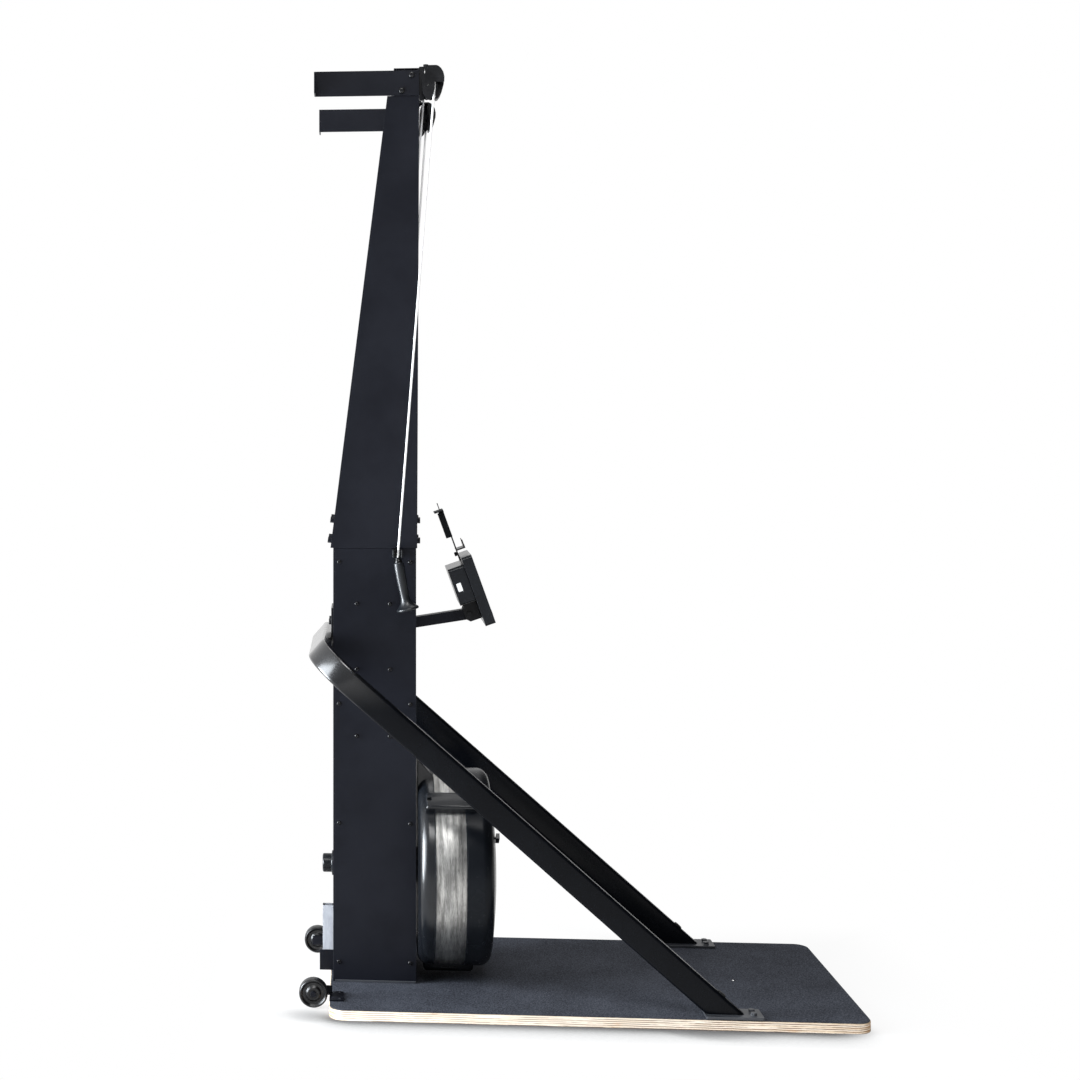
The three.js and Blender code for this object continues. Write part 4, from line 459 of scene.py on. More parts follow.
paint = powderCoat("black_powder_coat", paintPlan)
glossPaint = powderCoat("hoop_powder_coat", glossPlan)
footPaint = powderCoat("foot_powder_coat", footPaintPlan)
darkSteel = blackenedSteel("black_steel", darkSteelPlan)
screwBlack = blackenedSteel("screw_steel", screwPaintPlan)
bracketCoat = bracketPaint("bracket_coat", bracketPlan)
plastic = mouldedPlastic("black_plastic", plasticPlan)
shellPlastic = mouldedPlastic("cage_plastic", shellPlan)
frontPlastic = mouldedPlastic("front_plastic", frontPlan)
matte = mouldedPlastic("matte_plastic", mattePlan)
rubber = blackRubber("black_rubber", rubberPlan)
gripRubber = blackRubber("grip_rubber", gripPlan)
wheelRubber = blackRubber("wheel_rubber", tyrePlan)
mat = gripSurface("grip_surface", matPlan)
ply = birchPly("birch_ply", plyPlan)
steel = brightSteel("bright_steel", steelPlan)
perforated = perforatedBand("perforated_steel", bandPlan)
braid = braidedCord("braided_cord", cordPlan)
glass = screenFace("screen_face", screenPlan)
labelPaper = paperLabel("label_paper", labelPaperPlan)
print("finishes made")


# Mesh helpers
smoothTo = 32


def addObject(name, build):
    mesh = bpy.data.meshes.new(name)
    build.to_mesh(mesh)
    build.free()
    made = bpy.data.objects.new(name, mesh)
    scene.collection.objects.link(made)
    return made


def smoothFaces(build, sharp):
    for face in build.faces:
        face.smooth = True
    for edge in build.edges:
        edge.smooth = edge.is_manifold and edge.calc_face_angle(0) < math.radians(sharp)


def addPiece(name, build, material, body, slot, sharp=smoothTo, bevel=None, replaces=None):
    bmesh.ops.recalc_face_normals(build, faces=build.faces)
    smoothFaces(build, sharp)
    piece = addObject(name, build)
    piece.data.materials.append(material)
    if bevel:
        addBevel(piece, bevel)
    if body:
        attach(piece, body)
    if replaces:
        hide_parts(replaces)
    return piece


def addBevel(piece, width, angle=smoothTo):
    edge = piece.modifiers.new("edge", "BEVEL")
    edge.width = width * mm
    edge.segments = 2
    edge.limit_method = "ANGLE"
    edge.angle_limit = math.radians(angle)
    edge.use_clamp_overlap = True
    edge.harden_normals = True


def joinRings(build, rings):
    for low, high in zip(rings, rings[1:]):
        for i in range(len(low)):
            j = (i + 1) % len(low)
            build.faces.new([low[i], low[j], high[j], high[i]])
    build.faces.new(rings[0])
    build.faces.new(rings[-1])
    return build


def turnedMesh(profile, origin, axis, steps, closed):
    # a profile of (radius, distance along the axis), turned about a line
    build = bmesh.new()
    axis = Vector(axis).normalized()
    across = axis.orthogonal().normalized()
    up = axis.cross(across)
    rings = []
    for radius, along in profile:
        centre = Vector(origin) + axis * along * mm
        angles = [math.tau * i / steps for i in range(steps)] if radius else []
        ring = [centre + (across * math.cos(a) + up * math.sin(a)) * radius * mm for a in angles] or [centre]
        rings.append([build.verts.new(point) for point in ring])
    pairs = list(zip(rings, rings[1:])) + ([(rings[-1], rings[0])] if closed else [])
    for low, high in pairs:
        for i in range(steps):
            j = (i + 1) % steps
            corners = [low[i % len(low)], low[j % len(low)], high[j % len(high)], high[i % len(high)]]
            corners = list(dict.fromkeys(corners))
            if len(corners) > 2:
                build.faces.new(corners)
    return build


def addTurned(name, profile, origin, axis, steps, material, body, slot, closed=False, **more):
    return addPiece(name, turnedMesh(profile, origin, axis, steps, closed), material, body, slot, **more)


def mirrored(profile):
    return profile + [(radius, -along) for radius, along in reversed(profile)]


def roundOff(centre, radius, start, end, steps):
    # points of a round in a profile, angles in degrees
    angles = [math.radians(start + (end - start) * i / steps) for i in range(steps + 1)]
    return [(centre[0] + radius * math.cos(a), centre[1] + radius * math.sin(a)) for a in angles]


def blockMesh(build, spanX, spanY, spanZ, turn=None):
    corners = [spot(x, y, z) for z in spanZ for y in spanY for x in spanX]
    verts = [build.verts.new(turn @ corner if turn else corner) for corner in corners]
    for face in ((0, 2, 3, 1), (4, 5, 7, 6), (0, 1, 5, 4), (2, 6, 7, 3), (0, 4, 6, 2), (1, 3, 7, 5)):
        build.faces.new([verts[i] for i in face])
    return build


def aheadOf(path, i):
    return (path[min(i + 1, len(path) - 1)] - path[max(i - 1, 0)]).normalized()


def sweptMesh(path, frames, section):
    # a flat section carried along a path, with its two directions given at each point
    build = bmesh.new()
    rings = []
    for point, (across, up) in zip(path, frames):
        rings.append([build.verts.new(point + across * a * mm + up * b * mm) for a, b in section])
    return joinRings(build, rings)


def smoothLine(points, steps):
    # a Catmull-Rom line through points of a profile
    line = []
    padded = [points[0], *points, points[-1]]
    for a, b, c, d in zip(padded, padded[1:], padded[2:], padded[3:]):
        for i in range(steps):
            t = i / steps
            line.append(tuple(0.5 * (2 * q + (r - p) * t + (2 * p - 5 * q + 4 * r - s) * t * t
                                     + (3 * q - p - 3 * r + s) * t ** 3) for p, q, r, s in zip(a, b, c, d)))
    return [*line, points[-1]]


# Cords
headPlan = {"x": -371, "y": 217, "z": 2122.7, "turn": 21, "reach": 30}
cordShape = {"radius": 2.5, "sides": 16, "step": 6, "turnSteps": 28, "seat": 0.3,
             "drumX": {"near": -520.3, "far": -466.3}, "drumY": 22.8, "drumZ": 282,
             "end": (-441.6, 126, 1032.3)}


def pulleyPlace(side):
    turn = math.radians(headPlan["turn"])
    along = Vector((math.sin(turn), side * math.cos(turn), 0))
    axis = Vector((math.cos(turn), -side * math.sin(turn), 0))
    return spot(headPlan["x"], side * headPlan["y"], headPlan["z"]), along, axis


def cordTube(path):
    frames = []
    across = Vector((1, 0.2, 0))
    for i in range(len(path)):
        ahead = aheadOf(path, i)
        across = (across - ahead * across.dot(ahead)).normalized()
        frames.append((across, ahead.cross(across)))
    count = cordShape["sides"]
    angles = [math.tau * i / count for i in range(count)]
    radius = cordShape["radius"]
    build = sweptMesh(path, frames, [(radius * math.cos(a), radius * math.sin(a)) for a in angles])
    # how far round and how far along the cord, for its braid
    build.verts.index_update()
    run = build.loops.layers.uv.new("run")
    lengths = [0]
    for a, b in zip(path, path[1:]):
        lengths.append(lengths[-1] + (b - a).length)
    for face in build.faces:
        spots = [loop.vert.index % count for loop in face.loops]
        wraps = max(spots) - min(spots) > count / 2
        for loop, here in zip(face.loops, spots):
            turn = here + (count if wraps and here < count / 2 else 0)
            loop[run].uv = (turn / count, lengths[loop.vert.index // count])
    return build, lengths[-1]


def evenLine(start, end):
    count = max(2, round((end - start).length / (cordShape["step"] * mm)))
    return [start.lerp(end, i / count) for i in range(count + 1)]


def addCord(kind, word, path):
    build, length = cordTube(path)
    body = "frame" if kind == "inner" else None
    name = f"{kind}_cord_{word}"
    piece = addPiece(name, build, braid, body, "white_cord", replaces=f"cord_{kind}_{word}")
    if not body:
        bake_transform(piece)


def makeCords(word, side, plan):
    centre, along, _ = pulleyPlace(side)
    foot = spot(plan["drumX"][word], -side * plan["drumY"], plan["drumZ"])
    reach = headPlan["reach"] * mm
    steps = plan["turnSteps"]
    angles = [math.pi * (1 - i / steps) for i in range(1, steps + 1)]
    turn = [centre + (along * math.cos(a) + axisZ * math.sin(a)) * reach for a in angles]
    addCord("inner", word, [*evenLine(foot, centre - along * reach), *turn])
    x, y, z = plan["end"]
    start = centre + along * reach - axisZ * plan["seat"] * mm
    addCord("outer", word, evenLine(start, spot(x, side * y, z)))


for word, side in sides.items():
    makeCords(word, side, cordShape)
print("cords made")


# Fan brake: cage shells, perforated band, clips, cowl and cap
fanPlan = {"z": 282, "back": -393.5, "rearRim": -355.5, "frontRim": -285.8, "shoulder": -221.4,
           "radius": 231, "rearRound": 26, "frontRound": 28, "wall": 3, "seat": 0.3,
           "bandWall": 1.2, "bead": 0.15, "backRadii": (12, 60, 120), "dome": 15,
           "domeRadii": (0, 30, 46, 50, 56, 90, 118, 126, 130, 150, 170, 190), "hub": 45.7, "hubDepth": 6,
           "steps": 160, "roundSteps": 10, "window": (52, 122), "windows": 8, "windowShare": 0.6,
           "slot": (177, 183), "slotFrom": 97, "slotTo": 147, "cut": (-3.5, 20)}
fanCentre = spot(0, 0, fanPlan["z"])


def rimLip(plan, rim, way):
    # a shallow groove and a rounded edge beside the band
    lip = [(0, 3.2), (0.7, 2.6), (0.7, 1.8), (0, 1.2), (0.3, 0.2), (0.8, 0), (plan["wall"], 0)]
    return [(plan["radius"] - inward, rim + way * along) for inward, along in lip]


def makeRearShell(plan):
    back, bend = plan["back"], plan["rearRound"]
    centre = (plan["radius"] - bend, back + bend)
    bore = plan["backRadii"][0]
    profile = [*[(radius, back) for radius in plan["backRadii"]],
               *roundOff(centre, bend, -90, 0, plan["roundSteps"]), *rimLip(plan, plan["rearRim"], -1),
               *roundOff(centre, bend - plan["wall"], 0, -90, plan["roundSteps"]),
               (bore, back + plan["wall"])]
    addTurned("cage_rear_shell", profile, fanCentre, axisX, plan["steps"], shellPlastic, "frame",
              "black_plastic", closed=True, replaces="fan_rear_shell")


def makeBand(plan):
    outer = plan["radius"] - plan["wall"] - plan["seat"]
    edge = [(outer - plan["bandWall"], -4), (outer, -4), (outer, 3), (outer + plan["bead"], 3.3)]
    profile = [(radius, plan["rearRim"] + along) for radius, along in edge]
    profile += [(radius, plan["frontRim"] - along) for radius, along in reversed(edge)]
    addTurned("cage_band", profile, fanCentre, axisX, plan["steps"], perforated, "frame", "perforated_steel",
              closed=True, replaces="fan_band")


def ringWedge(build, inner, outer, start, end, spanX, steps=14):
    # a prism between two radii and two angles about the fan's axis
    spots = [(outer, start + (end - start) * i / steps) for i in range(steps + 1)]
    spots += [(inner, end + (start - end) * i / steps) for i in range(steps + 1)]
    rings = []
    for x in spanX:
        places = [spot(x, r * math.cos(a), fanPlan["z"] + r * math.sin(a)) for r, a in spots]
        rings.append([build.verts.new(place) for place in places])
    joinRings(build, rings)


def cutAway(piece, build):
    bmesh.ops.recalc_face_normals(build, faces=build.faces)
    cutter = addObject("cutter", build)
    cut = piece.modifiers.new("cut", "BOOLEAN")
    cut.operation = "DIFFERENCE"
    cut.solver = "EXACT"
    cut.object = cutter
    bpy.context.view_layer.update()
    done = bpy.data.meshes.new_from_object(piece.evaluated_get(bpy.context.evaluated_depsgraph_get()))
    piece.modifiers.clear()
    piece.data = done
    bpy.data.objects.remove(cutter)
    smoothed = bmesh.new()
    smoothed.from_mesh(done)
    smoothFaces(smoothed, smoothTo)
    smoothed.to_mesh(done)
    smoothed.free()


def makeFrontShell(plan):
    shoulder, bend, wall = plan["shoulder"], plan["frontRound"], plan["wall"]
    turn = plan["radius"] - bend
    dome = [(r, shoulder + plan["dome"] * (1 - min(r / turn, 1) ** 2)) for r in plan["domeRadii"]]
    inside = [(r, x - wall) for r, x in reversed(dome) if r > plan["hub"]]
    hubX = shoulder - plan["hubDepth"]
    centre = (turn, shoulder - bend)
    profile = [*dome, *roundOff(centre, bend, 90, 0, plan["roundSteps"]),
               *rimLip(plan, plan["frontRim"], 1), *roundOff(centre, bend - wall, 0, 90, plan["roundSteps"]),
               *inside, (plan["hub"], hubX), (0, hubX)]
    piece = addTurned("cage_front_shell", profile, fanCentre, axisX, plan["steps"], frontPlastic, None,
                      "black_plastic")
    cutter = bmesh.new()
    cutX = [shoulder + x for x in plan["cut"]]
    step = math.tau / plan["windows"]
    width = step * plan["windowShare"]
    for i in range(plan["windows"]):
        start = math.pi / 2 + i * step - width / 2
        ringWedge(cutter, *plan["window"], start, start + width, cutX)
    ringWedge(cutter, *plan["slot"], math.radians(plan["slotFrom"]), math.radians(plan["slotTo"]), cutX, 24)
    cutAway(piece, cutter)
    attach(piece, "frame")
    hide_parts("fan_front_shell")


# the ends come down in a round: distance from the end, and share of the full height
clipPlan = {"angles": (50, 130, 270), "half": 23, "low": 229, "high": 250, "x": (-378.3, -259.3),
            "ends": ((0, 0.55), (1.5, 0.78), (5, 0.95), (10, 1)), "narrow": 0.1, "round": 6,
            "hole": (-375, -364), "holeHalf": 6, "holeDepth": 6,
            "sideSlots": ((-335, -321), (-316, -299)), "slotRise": (7.5, 13), "wall": 4, "over": 5}


def clipCuts(plan, angle, number):
    # the upper clips have a square hole on top, the lowest one has slots in its sides
    cutter = bmesh.new()
    half, high, wall, over = plan["half"], plan["high"], plan["wall"], plan["over"]
    turn = Matrix.Translation(fanCentre) @ Matrix.Rotation(angle - math.pi / 2, 4, "X")
    if number < 2:
        spanY = (-plan["holeHalf"], plan["holeHalf"])
        return blockMesh(cutter, plan["hole"], spanY, (high - plan["holeDepth"], high + over), turn)
    spanZ = [plan["low"] + rise for rise in plan["slotRise"]]
    for spanX in plan["sideSlots"]:
        for spanY in ((-half - over, wall - half), (half - wall, half + over)):
            blockMesh(cutter, spanX, spanY, spanZ, turn)
    return cutter


def makeClips(plan):
    half, low, high, bend = plan["half"], plan["low"], plan["high"], plan["round"]
    section = [(-half, low), (half, low), *roundOff((half - bend, high - bend), bend, 0, 90, 5),
               *roundOff((bend - half, high - bend), bend, 90, 180, 5)]
    runs = [(plan["x"][0] + along, share) for along, share in plan["ends"]]
    runs += [(plan["x"][1] - along, share) for along, share in reversed(plan["ends"])]
    for number, degrees in enumerate(plan["angles"]):
        angle = math.radians(degrees)
        radial = Vector((0, math.cos(angle), math.sin(angle)))
        across = Vector((0, math.sin(angle), -math.cos(angle)))
        build = bmesh.new()
        rings = []
        for x, share in runs:
            narrow = 1 - plan["narrow"] * (1 - share)
            places = [radial * (low + (b - low) * share) + across * a * narrow for a, b in section]
            rings.append([build.verts.new(fanCentre + (axisX * x + place) * mm) for place in places])
        joinRings(build, rings)
        piece = addPiece(f"cage_clip_{number + 1}", build, shellPlastic, None, "black_plastic")
        cutAway(piece, clipCuts(plan, angle, number))
        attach(piece, "frame")


cowlPlan = {"half": 69.8, "bevel": 1.5,
            "side": ((-393.3, 470), (-370, 480), (-356, 497), (-356, 506), (-360, 512.5), (-368, 521.5),
                     (-380, 535), (-386.5, 542.5), (-389.5, 544.6), (-393.3, 544.9))}


def makeCowl(plan):
    build = bmesh.new()
    rings = [[build.verts.new(spot(x, y, z)) for x, z in plan["side"]] for y in (-plan["half"], plan["half"])]
    addPiece("cage_cowl", joinRings(build, rings), shellPlastic, "frame", "black_plastic", 30,
             bevel=plan["bevel"])


capPlan = {"back": -593.6, "reach": 26.6, "face": 17, "radius": 22.3, "flange": 29.5, "bore": 10.3, "wall": 4,
           "steps": 64}


def makeCap(plan):
    back, radius, flange, bore = plan["back"], plan["radius"], plan["flange"], plan["bore"]
    end = back - plan["reach"]
    inner = end + plan["wall"]
    profile = [(0, end), (plan["face"], end), (radius - 1.8, end + 0.8), (radius, end + 3),
               (radius, back - 5.5), (radius + 1.2, back - 4), (flange - 1.5, back - 4), (flange, back - 3),
               (flange, back), (bore, back), (bore, inner), (0, inner)]
    addTurned("axle_cap", profile, fanCentre, axisX, plan["steps"], plastic, "frame", "black_plastic",
              replaces="rear_bearing_cap")


makeRearShell(fanPlan)
makeBand(fanPlan)
makeFrontShell(fanPlan)
makeClips(clipPlan)
makeCowl(cowlPlan)
makeCap(capPlan)
print("fan brake made")


# Pulleys at the top
pulleyShape = {"radius": 34.7, "half": 5.5, "groove": 27.2, "bore": 4.3, "hub": 10, "web": 24, "steps": 72}


def makePulley(word, side, plan):
    centre, _, axis = pulleyPlace(side)
    half, rim, groove, web = -plan["half"], plan["radius"], plan["groove"], plan["web"]
    profile = [(plan["bore"], half + 0.2), (plan["hub"], half + 0.2), (plan["hub"] + 1, half + 1.2),
               (web, half + 1.2), (web + 2, half), (rim - 0.8, half), (rim, half + 0.5),
               (rim, half * 0.79 - 0.2), (rim - 0.6, half * 0.76), (groove + 0.8, -2.6), (groove, -1.6)]
    addTurned("top_pulley_" + word, mirrored(profile), centre, axis, plan["steps"], plastic, "pulley_" + word,
              "black_plastic", closed=True, replaces="pulley_" + word)


for word, side in sides.items():
    makePulley(word, side, pulleyShape)
print("pulleys made")


# Handles
handlePlan = {"x": -441.6, "y": 126, "top": 1032, "ferrule": 11, "grip": 112, "seat": 0.3,
              "steps": 48, "lean": (0.15, 0.24), "lineSteps": 5}
handleProfiles = {
    "ferrule": [(0, 0), (4.8, 0), (5.9, -0.5), (6.2, -1.4), (6.9, -4), (8.1, -7), (8.6, -8), (8.6, -10.6),
                (8.3, -11), (0, -11)],
    "grip": [(10.2, 0), (11.9, -4), (12.1, -20), (11.7, -42), (10.9, -64), (10.7, -78),
             (11.4, -86), (13.4, -93), (16.8, -99), (21.4, -103.8), (24.8, -106.4)],
    "lip": [(25.6, -108.2), (25.8, -110.2), (25, -111.5), (23.4, -112), (19, -111.4), (13, -107.5),
            (9.3, -106), (0, -106)],
}


def leanPiece(build, plan):
    # the handle hangs in a slight curve, from one lean at its top to another at its end
    first, last = plan["lean"]
    curve = (last - first) / (2 * (plan["ferrule"] + plan["grip"]))
    for vert in build.verts:
        depth = max(plan["top"] - vert.co.z / mm, 0)
        vert.co.z += (vert.co.x - plan["x"] * mm) * (first + 2 * curve * depth)
        vert.co.x += (first * depth + curve * depth * depth) * mm
    return build


def makeHandle(word, side, plan, profiles):
    up = spot(plan["x"], side * plan["y"], plan["top"])
    down = up - axisZ * (plan["ferrule"] + plan["seat"]) * mm
    body = "handle_" + word
    build = turnedMesh(profiles["ferrule"], up, axisZ, plan["steps"], False)
    addPiece("ferrule_" + word, leanPiece(build, plan), screwBlack, body, "dark_steel",
             replaces="handle_ferrule_" + word)
    profile = [(0, 0), *smoothLine(profiles["grip"], plan["lineSteps"]), *profiles["lip"]]
    build = turnedMesh(profile, down, axisZ, plan["steps"], False)
    addPiece("grip_" + word, leanPiece(build, plan), gripRubber, body, "black_rubber", 40,
             replaces="handle_grip_" + word)


for word, side in sides.items():
    makeHandle(word, side, handlePlan, handleProfiles)
print("handles made")


# Stabiliser hoop
hoopPlan = {"slope": 41.1, "tall": 56, "wide": 28, "corner": 7, "spread": 270, "bend": 95,
            "crossZ": 818, "crossX": -622.6, "leg": 1263.9, "stations": (900, 500), "foot": 30.6,
            "steps": 20, "cornerSteps": 5}


def hoopDirections(plan):
    slope = math.radians(plan["slope"])
    return Vector((-math.cos(slope), 0, math.sin(slope))), Vector((math.sin(slope), 0, math.cos(slope)))


def makeHoop(plan):
    up, out = hoopDirections(plan)
    bend, spread = plan["bend"], plan["spread"]
    # one leg and its bend in the hoop's own plane, then the same mirrored
    leg = [(-spread, -along) for along in (plan["leg"], *plan["stations"])]
    leg += roundOff((bend - spread, -bend), bend, 180, 90, plan["steps"])
    flat = [*leg, (0, 0), *[(-y, h) for y, h in reversed(leg)]]
    cross = spot(plan["crossX"], 0, plan["crossZ"])
    path = [cross + spot(0, y, 0) + up * h * mm for y, h in flat]
    frames = [(out, aheadOf(path, i).cross(out)) for i in range(len(path))]
    r = plan["corner"]
    section = []
    for number, (a, b) in enumerate(((1, 1), (-1, 1), (-1, -1), (1, -1))):
        centre = (a * (plan["tall"] / 2 - r), b * (plan["wide"] / 2 - r))
        section += roundOff(centre, r, 90 * number, 90 * number + 90, plan["cornerSteps"])
    build = sweptMesh(path, frames, section)
    cut = bmesh.ops.bisect_plane(build, geom=[*build.verts, *build.edges, *build.faces],
                                 plane_co=spot(0, 0, plan["foot"]), plane_no=axisZ, clear_inner=True)
    rim = [item for item in cut["geom_cut"] if isinstance(item, bmesh.types.BMEdge)]
    bmesh.ops.holes_fill(build, edges=rim)
    addPiece("hoop_tube", build, glossPaint, "frame", "black_paint", 30, replaces="stabiliser_hoop")


makeHoop(hoopPlan)
print("hoop made")


# Small pieces that the solids don't have
plugPlan = {"x": 275, "radius": 10.5, "rise": 3.2, "steps": 32}
boardScrewPlan = {"place": (353.6, -16.7, 24.3), "radius": 3.6, "recess": 1.6, "rise": 1.3, "steps": 24}
rivetPlan = {"radius": 2.8, "rise": 1.4, "y": 254.5, "places": ((-374.7, 2115.8),), "steps": 24, "sharp": 32}
screwPlan = {"radius": 5, "rise": 3, "y": 95.4, "z": 24, "height": 1027.6, "edgeX": (-579.3, -411.6),
             "innerX": (-537.45, -459.45), "edgeShares": (0.046, 0.366, 0.641, 0.968),
             "innerShares": (0.567, 0.721, 0.872), "steps": 20, "sharp": 40}
boltPlan = {"radius": 6.6, "rise": 5.6, "y": 241.4, "places": ((-412.5, 2141.3), (-435, 2105.7)),
            "steps": 24, "sharp": 40}
stripPlan = {"x": (-589, -398.5), "z": (24.4, 29), "y": 95.6, "thick": 3, "bevel": 0.5}
labelPlan = {**monitorPlan, "x": (-7, 4), "z": (63.8, 83.8), "thick": 0.4, "sunk": 0.05, "half": 75}


def makePlugs(plan, hoop):
    _, out = hoopDirections(hoop)
    # the place on the rail's upper face at the plug's X
    run = (plan["x"] - hoop["crossX"] - out.x * hoop["tall"] / 2) / out.z
    face = spot(plan["x"], 0, hoop["crossZ"] - run * out.x + out.z * hoop["tall"] / 2)
    radius, rise = plan["radius"], plan["rise"]
    profile = [(0, 0.1), (radius, 0.1), (radius, rise * 0.5), (radius - 0.8, rise * 0.85),
               (radius - 2.5, rise), (0, rise)]
    for word, side in sides.items():
        place = face + spot(0, side * hoop["spread"], 0)
        addTurned("rail_plug_" + word, profile, place, out, plan["steps"], rubber, "frame", "black_rubber")


def makeBoardScrew(plan):
    radius, recess, rise = plan["radius"], plan["recess"], plan["rise"]
    profile = [(0, 0.4), (recess, 0.4), (recess + 0.2, rise), (radius - 1.4, rise), (radius - 0.3, 0.6),
               (radius, 0), (0, 0)]
    place = spot(*plan["place"])
    addTurned("board_screw", profile, place, axisZ, plan["steps"], steel, "frame", "bare_steel")


def addHeads(name, profile, plan):
    # the same head on both sides, facing outwards
    for word, side in sides.items():
        for number, (x, z) in enumerate(plan["places"]):
            mark = f"_{number + 1}" if len(plan["places"]) > 1 else ""
            addTurned(f"{name}_{word}{mark}", profile, spot(x, side * plan["y"], z), (0, side, 0),
                      plan["steps"], screwBlack, "frame", "dark_steel", sharp=plan["sharp"])


def makeScrewHeads(plan):
    # glossy domes over the panel screws, which catch points of light
    radius, rise = plan["radius"], plan["rise"]
    profile = [(0, 0.05), (radius, 0.05), (radius, 0.7), (radius * 0.94, rise * 0.55),
               (radius * 0.74, rise * 0.84), (radius * 0.5, rise), (radius * 0.42, rise * 0.96),
               (radius * 0.36, rise * 0.6), (0, rise * 0.56)]
    places = []
    for kind in ("edge", "inner"):
        heights = [plan["z"] + share * plan["height"] for share in plan[kind + "Shares"]]
        places += [(x, z) for z in heights for x in plan[kind + "X"]]
    addHeads("panel_screw", profile, {**plan, "places": places})


def makeBoltDomes(plan):
    radius, rise = plan["radius"], plan["rise"]
    profile = [(0, 0), (radius, 0), (radius, rise * 0.6), (radius * 0.86, rise * 0.85), (radius * 0.62, rise),
               (radius * 0.5, rise), (radius * 0.44, rise * 0.75), (0, rise * 0.7)]
    addHeads("bracket_bolt", profile, plan)


# a thin strip in the paler foot paint along the foot of each column panel: its pale colour is a painted
# highlight line
def makeFootStrip(plan):
    for word, side in sides.items():
        spanY = (side * plan["y"], side * (plan["y"] + plan["thick"]))
        build = blockMesh(bmesh.new(), plan["x"], spanY, plan["z"])
        addPiece("foot_strip_" + word, build, footPaint, "frame", "black_paint", bevel=plan["bevel"])


def makeRivets(plan):
    radius, rise = plan["radius"], plan["rise"]
    profile = [(0, -0.2), (radius, -0.2), (radius, 0.3), (radius * 0.7, rise * 0.8), (radius * 0.3, rise),
               (0, rise)]
    addHeads("guard_rivet", profile, plan)


def makeBlankLabel(plan):
    turn = Matrix.Translation(spot(*plan["pivot"])) @ Matrix.Rotation(-math.radians(plan["tilt"]), 4, "Y")
    spanY = (-plan["half"] - plan["thick"], plan["sunk"] - plan["half"])
    build = blockMesh(bmesh.new(), plan["x"], spanY, plan["z"], turn)
    addPiece("case_label", build, labelPaper, "monitor", None)


makePlugs(plugPlan, hoopPlan)
makeBoardScrew(boardScrewPlan)
makeRivets(rivetPlan)
makeScrewHeads(screwPlan)
makeBoltDomes(boltPlan)
makeFootStrip(stripPlan)
makeBlankLabel(labelPlan)
print("trim made")


# Transport wheels
wheelPlan = {"x": -637, "z": 34.5, "y": 212, "radius": 33, "half": 13, "bore": 5, "steps": 64}


def makeWheel(word, side, plan):
    half, rim = -plan["half"], plan["radius"]
    profile = [(plan["bore"], half + 0.6), (9, half + 0.6), (9.6, half), (14, half), (15, half + 0.8),
               (18.5, half + 4), (24.5, half + 4), (27, half + 1.5), (28.6, half), (rim - 2.5, half + 0.3),
               (rim - 0.8, half + 1.8), (rim, half + 4), (rim, -4.5), (rim - 1, -4), (rim - 1, -3),
               (rim, -2.5)]
    addTurned("tyre_" + word, mirrored(profile), spot(plan["x"], side * plan["y"], plan["z"]), (0, 1, 0),
              plan["steps"], wheelRubber, "wheel_" + word, "black_rubber", closed=True,
              replaces="wheel_" + word)


for word, side in sides.items():
    makeWheel(word, side, wheelPlan)
print("wheels made")


# CAD nodes that keep their shape: finish and a small rounded edge for each
dressPlan = {"weld": 0.02, "flat": 0.6, "sharp": 34}
keptNodes = {
    "base_board": (ply, 0.8), "grip_mat": (mat, 0.6), "column_frame": (paint, 0.6),
    "column_panel": (paint, 0.7), "tower_shell": (paint, 0.9), "tower_front_cover": (paint, 0.7),
    "head_beam": (paint, 1), "wall_bracket": (paint, 0.8), "pulley_axle": (darkSteel, 0.4),
    "pulley_yoke": (darkSteel, 0.7), "handle_dock": (darkSteel, 1.4), "monitor_arm": (paint, 1.2),
    "monitor_clevis": (darkSteel, 0.8), "monitor_pivot_bolt": (darkSteel, 0.5),
    "monitor_front_case": (plastic, 1.8), "monitor_back_case": (plastic, 1.6),
    "monitor_screen": (glass, 0.3), "button": (rubber, 0.6), "phone_stand": (darkSteel, 0.5),
    "phone_knob": (matte, 0.8), "phone_clamp": (matte, 1), "fan_rotor": (plastic, 0.5),
    "fan_axle": (steel, 0.6), "front_bearing": (darkSteel, 0.6), "recoil_spring_case": (darkSteel, 0.8),
    "damper_ring": (plastic, 0.6), "hoop_mount": (darkSteel, 0.8), "rear_foot_bracket": (bracketCoat, 0.8),
    "cord_drum": (plastic, 0.6), "foot_plate": (footPaint, 0.8), "wheel_bracket": (paint, 0.6),
}


def dressNode(piece, material, width, plan):
    piece.data.materials.clear()
    piece.data.materials.append(material)
    for face in piece.data.polygons:
        face.use_smooth = True
        face.material_index = 0
    weld = piece.modifiers.new("weld", "WELD")
    weld.merge_threshold = plan["weld"] * mm
    flat = piece.modifiers.new("flat", "DECIMATE")
    flat.decimate_type = "DISSOLVE"
    flat.angle_limit = math.radians(plan["flat"])
    addBevel(piece, width, plan["sharp"])
    normals = piece.modifiers.new("normals", "WEIGHTED_NORMAL")
    normals.keep_sharp = True


for name, piece in nodes.items():
    for start, (material, width) in keptNodes.items():
        if name.startswith(start) and not piece.hide_render:
            dressNode(piece, material, width, dressPlan)
print("CAD nodes dressed")


# Floor, world and lamps
studioPlan = {"floor": 40000, "floorZ": (-20, -0.5), "pale": 0.99, "half": (0.6, 0.3), "zone": (0.03, 0.3),
              "seenShare": 0.86, "shade": 0.1, "shadePower": 8, "shadeY": (-0.3, -0.2), "shadeX": (0.5, 0.64)}
worldPlan = {"ambient": 0.3, "dimRight": 0.95, "darkRight": (0, 0.4), "dimFront": 0.55,
             "darkFront": (-0.9, -0.3)}
white = (1, 1, 1, 1)


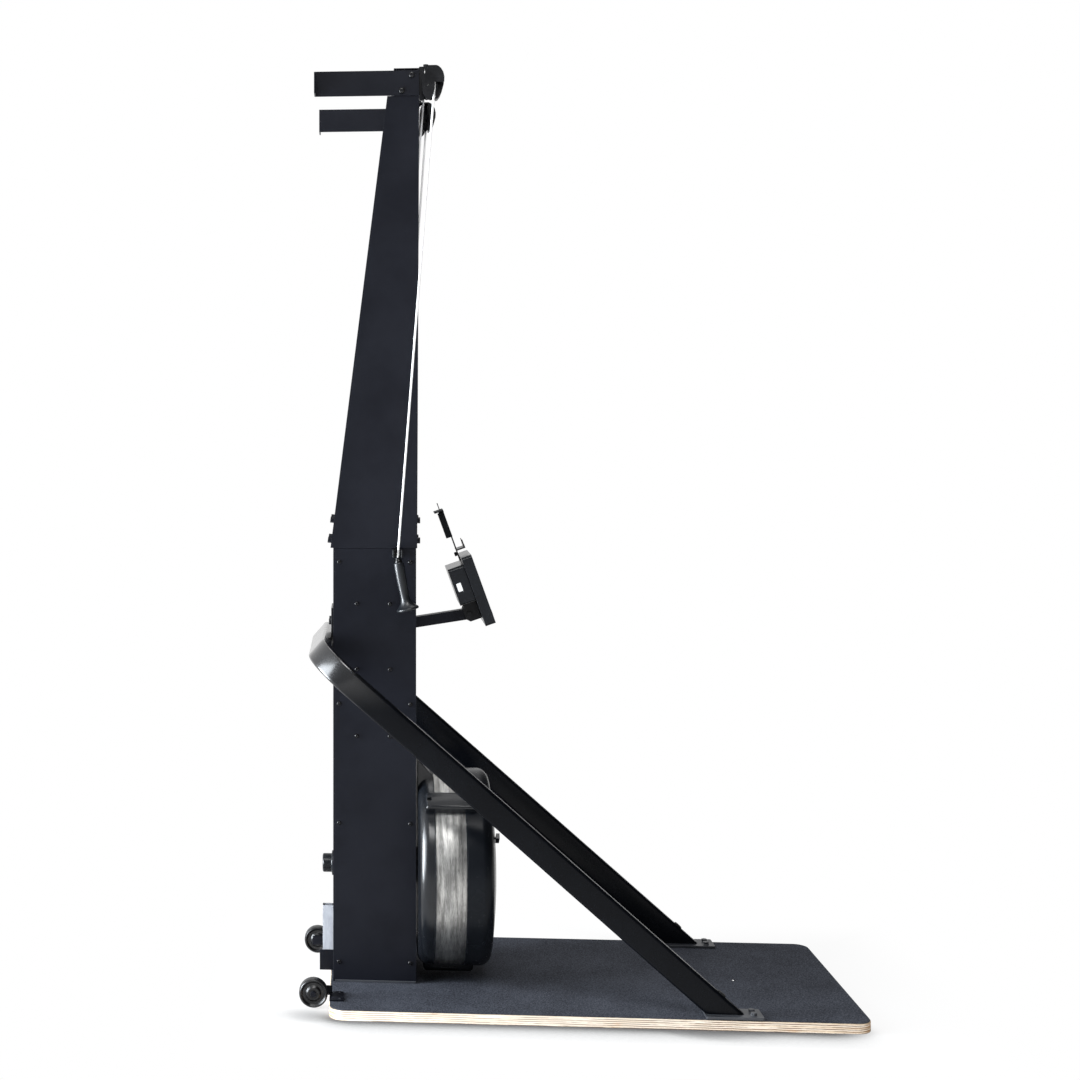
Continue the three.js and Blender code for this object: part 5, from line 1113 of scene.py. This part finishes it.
def makeFloor(plan):
    span = (-plan["floor"], plan["floor"])
    floor = addObject("floor", blockMesh(bmesh.new(), span, span, plan["floorZ"]))
    finish = Finish("studio_floor")
    x, y, _ = finish.parts()
    halfX, halfY = plan["half"]
    away = finish.math("MAXIMUM", finish.math("ABSOLUTE", x) - halfX, finish.math("ABSOLUTE", y) - halfY)
    camera, mirror, through = finish.rays()
    # white as it is seen, more so away from the board, and dull for all other light
    share = plan["seenShare"] + (1 - plan["seenShare"]) * away.step(*plan["zone"])
    clear = finish.node("ShaderNodeAmbientOcclusion", {"samples": 12}, {"Distance": plan["shade"]}, 1)
    ahead = (1 - y.step(*plan["shadeY"])) * (1 - x.step(*plan["shadeX"]))
    strength = 1 - (1 - clear ** plan["shadePower"]) * ahead
    glow = finish.node("ShaderNodeEmission", None, {"Color": white, "Strength": strength})
    dull = finish.node("ShaderNodeBsdfDiffuse", None, {"Color": (plan["pale"],) * 3 + (1,)})
    seen = (camera + mirror + through) * share
    both = finish.node("ShaderNodeMixShader", None, {0: seen, 1: dull, 2: glow})
    finish.join(both, finish.tree.nodes["Material Output"].inputs["Surface"])
    floor.data.materials.append(finish.material)


def makeWorld(plan):
    # white to the camera, and darker to the right and in front for what a glossy surface mirrors
    world = bpy.data.worlds.new("studio")
    world.use_nodes = True
    scene.world = world
    sky = Finish("studio", world.node_tree)
    ambient = plan["ambient"]
    camera, mirror, through = sky.rays()
    x, y, _ = sky.parts(sky.node("ShaderNodeTexCoord"))
    right = x.step(*plan["darkRight"])
    front = 1 - y.step(*plan["darkFront"])
    more = (1 - plan["dimRight"] * right) * (1 - plan["dimFront"] * front) - ambient
    background = world.node_tree.nodes["Background"]
    sky.join(white, background.inputs["Color"])
    sky.join(ambient + camera * (1 - ambient) + (mirror + through) * more, background.inputs["Strength"])


coolTint = (0.88, 0.94, 1)
lampPlan = {
    "key": {"place": (-3300, -1300, 1400), "aim": (-450, 0, 600), "size": (1.9, 2), "power": 150,
            "tint": coolTint},
    "strip": {"place": (-2700, -500, 500), "aim": (-400, 0, 300), "size": (0.7, 1.6), "power": 145,
              "tint": coolTint},
    "front": {"place": (-300, -2800, 4200), "aim": (-200, 0, 500), "size": (2, 1.6), "power": 90},
    "top": {"place": (-300, 900, 4600), "aim": (-300, 0, 0), "size": (2.2, 2.2), "power": 35},
}


def makeLamp(name, plan):
    data = bpy.data.lights.new(name, "AREA")
    data.shape = "RECTANGLE"
    data.size, data.size_y = plan["size"]
    data.energy = plan["power"]
    data.color = plan.get("tint", white[:3])
    light = bpy.data.objects.new(name, data)
    light.location = spot(*plan["place"])
    light.rotation_euler = (spot(*plan["aim"]) - light.location).to_track_quat("-Z", "Y").to_euler()
    scene.collection.objects.link(light)


makeFloor(studioPlan)
makeWorld(worldPlan)
for name, plan in lampPlan.items():
    makeLamp(name, plan)
print("studio made")
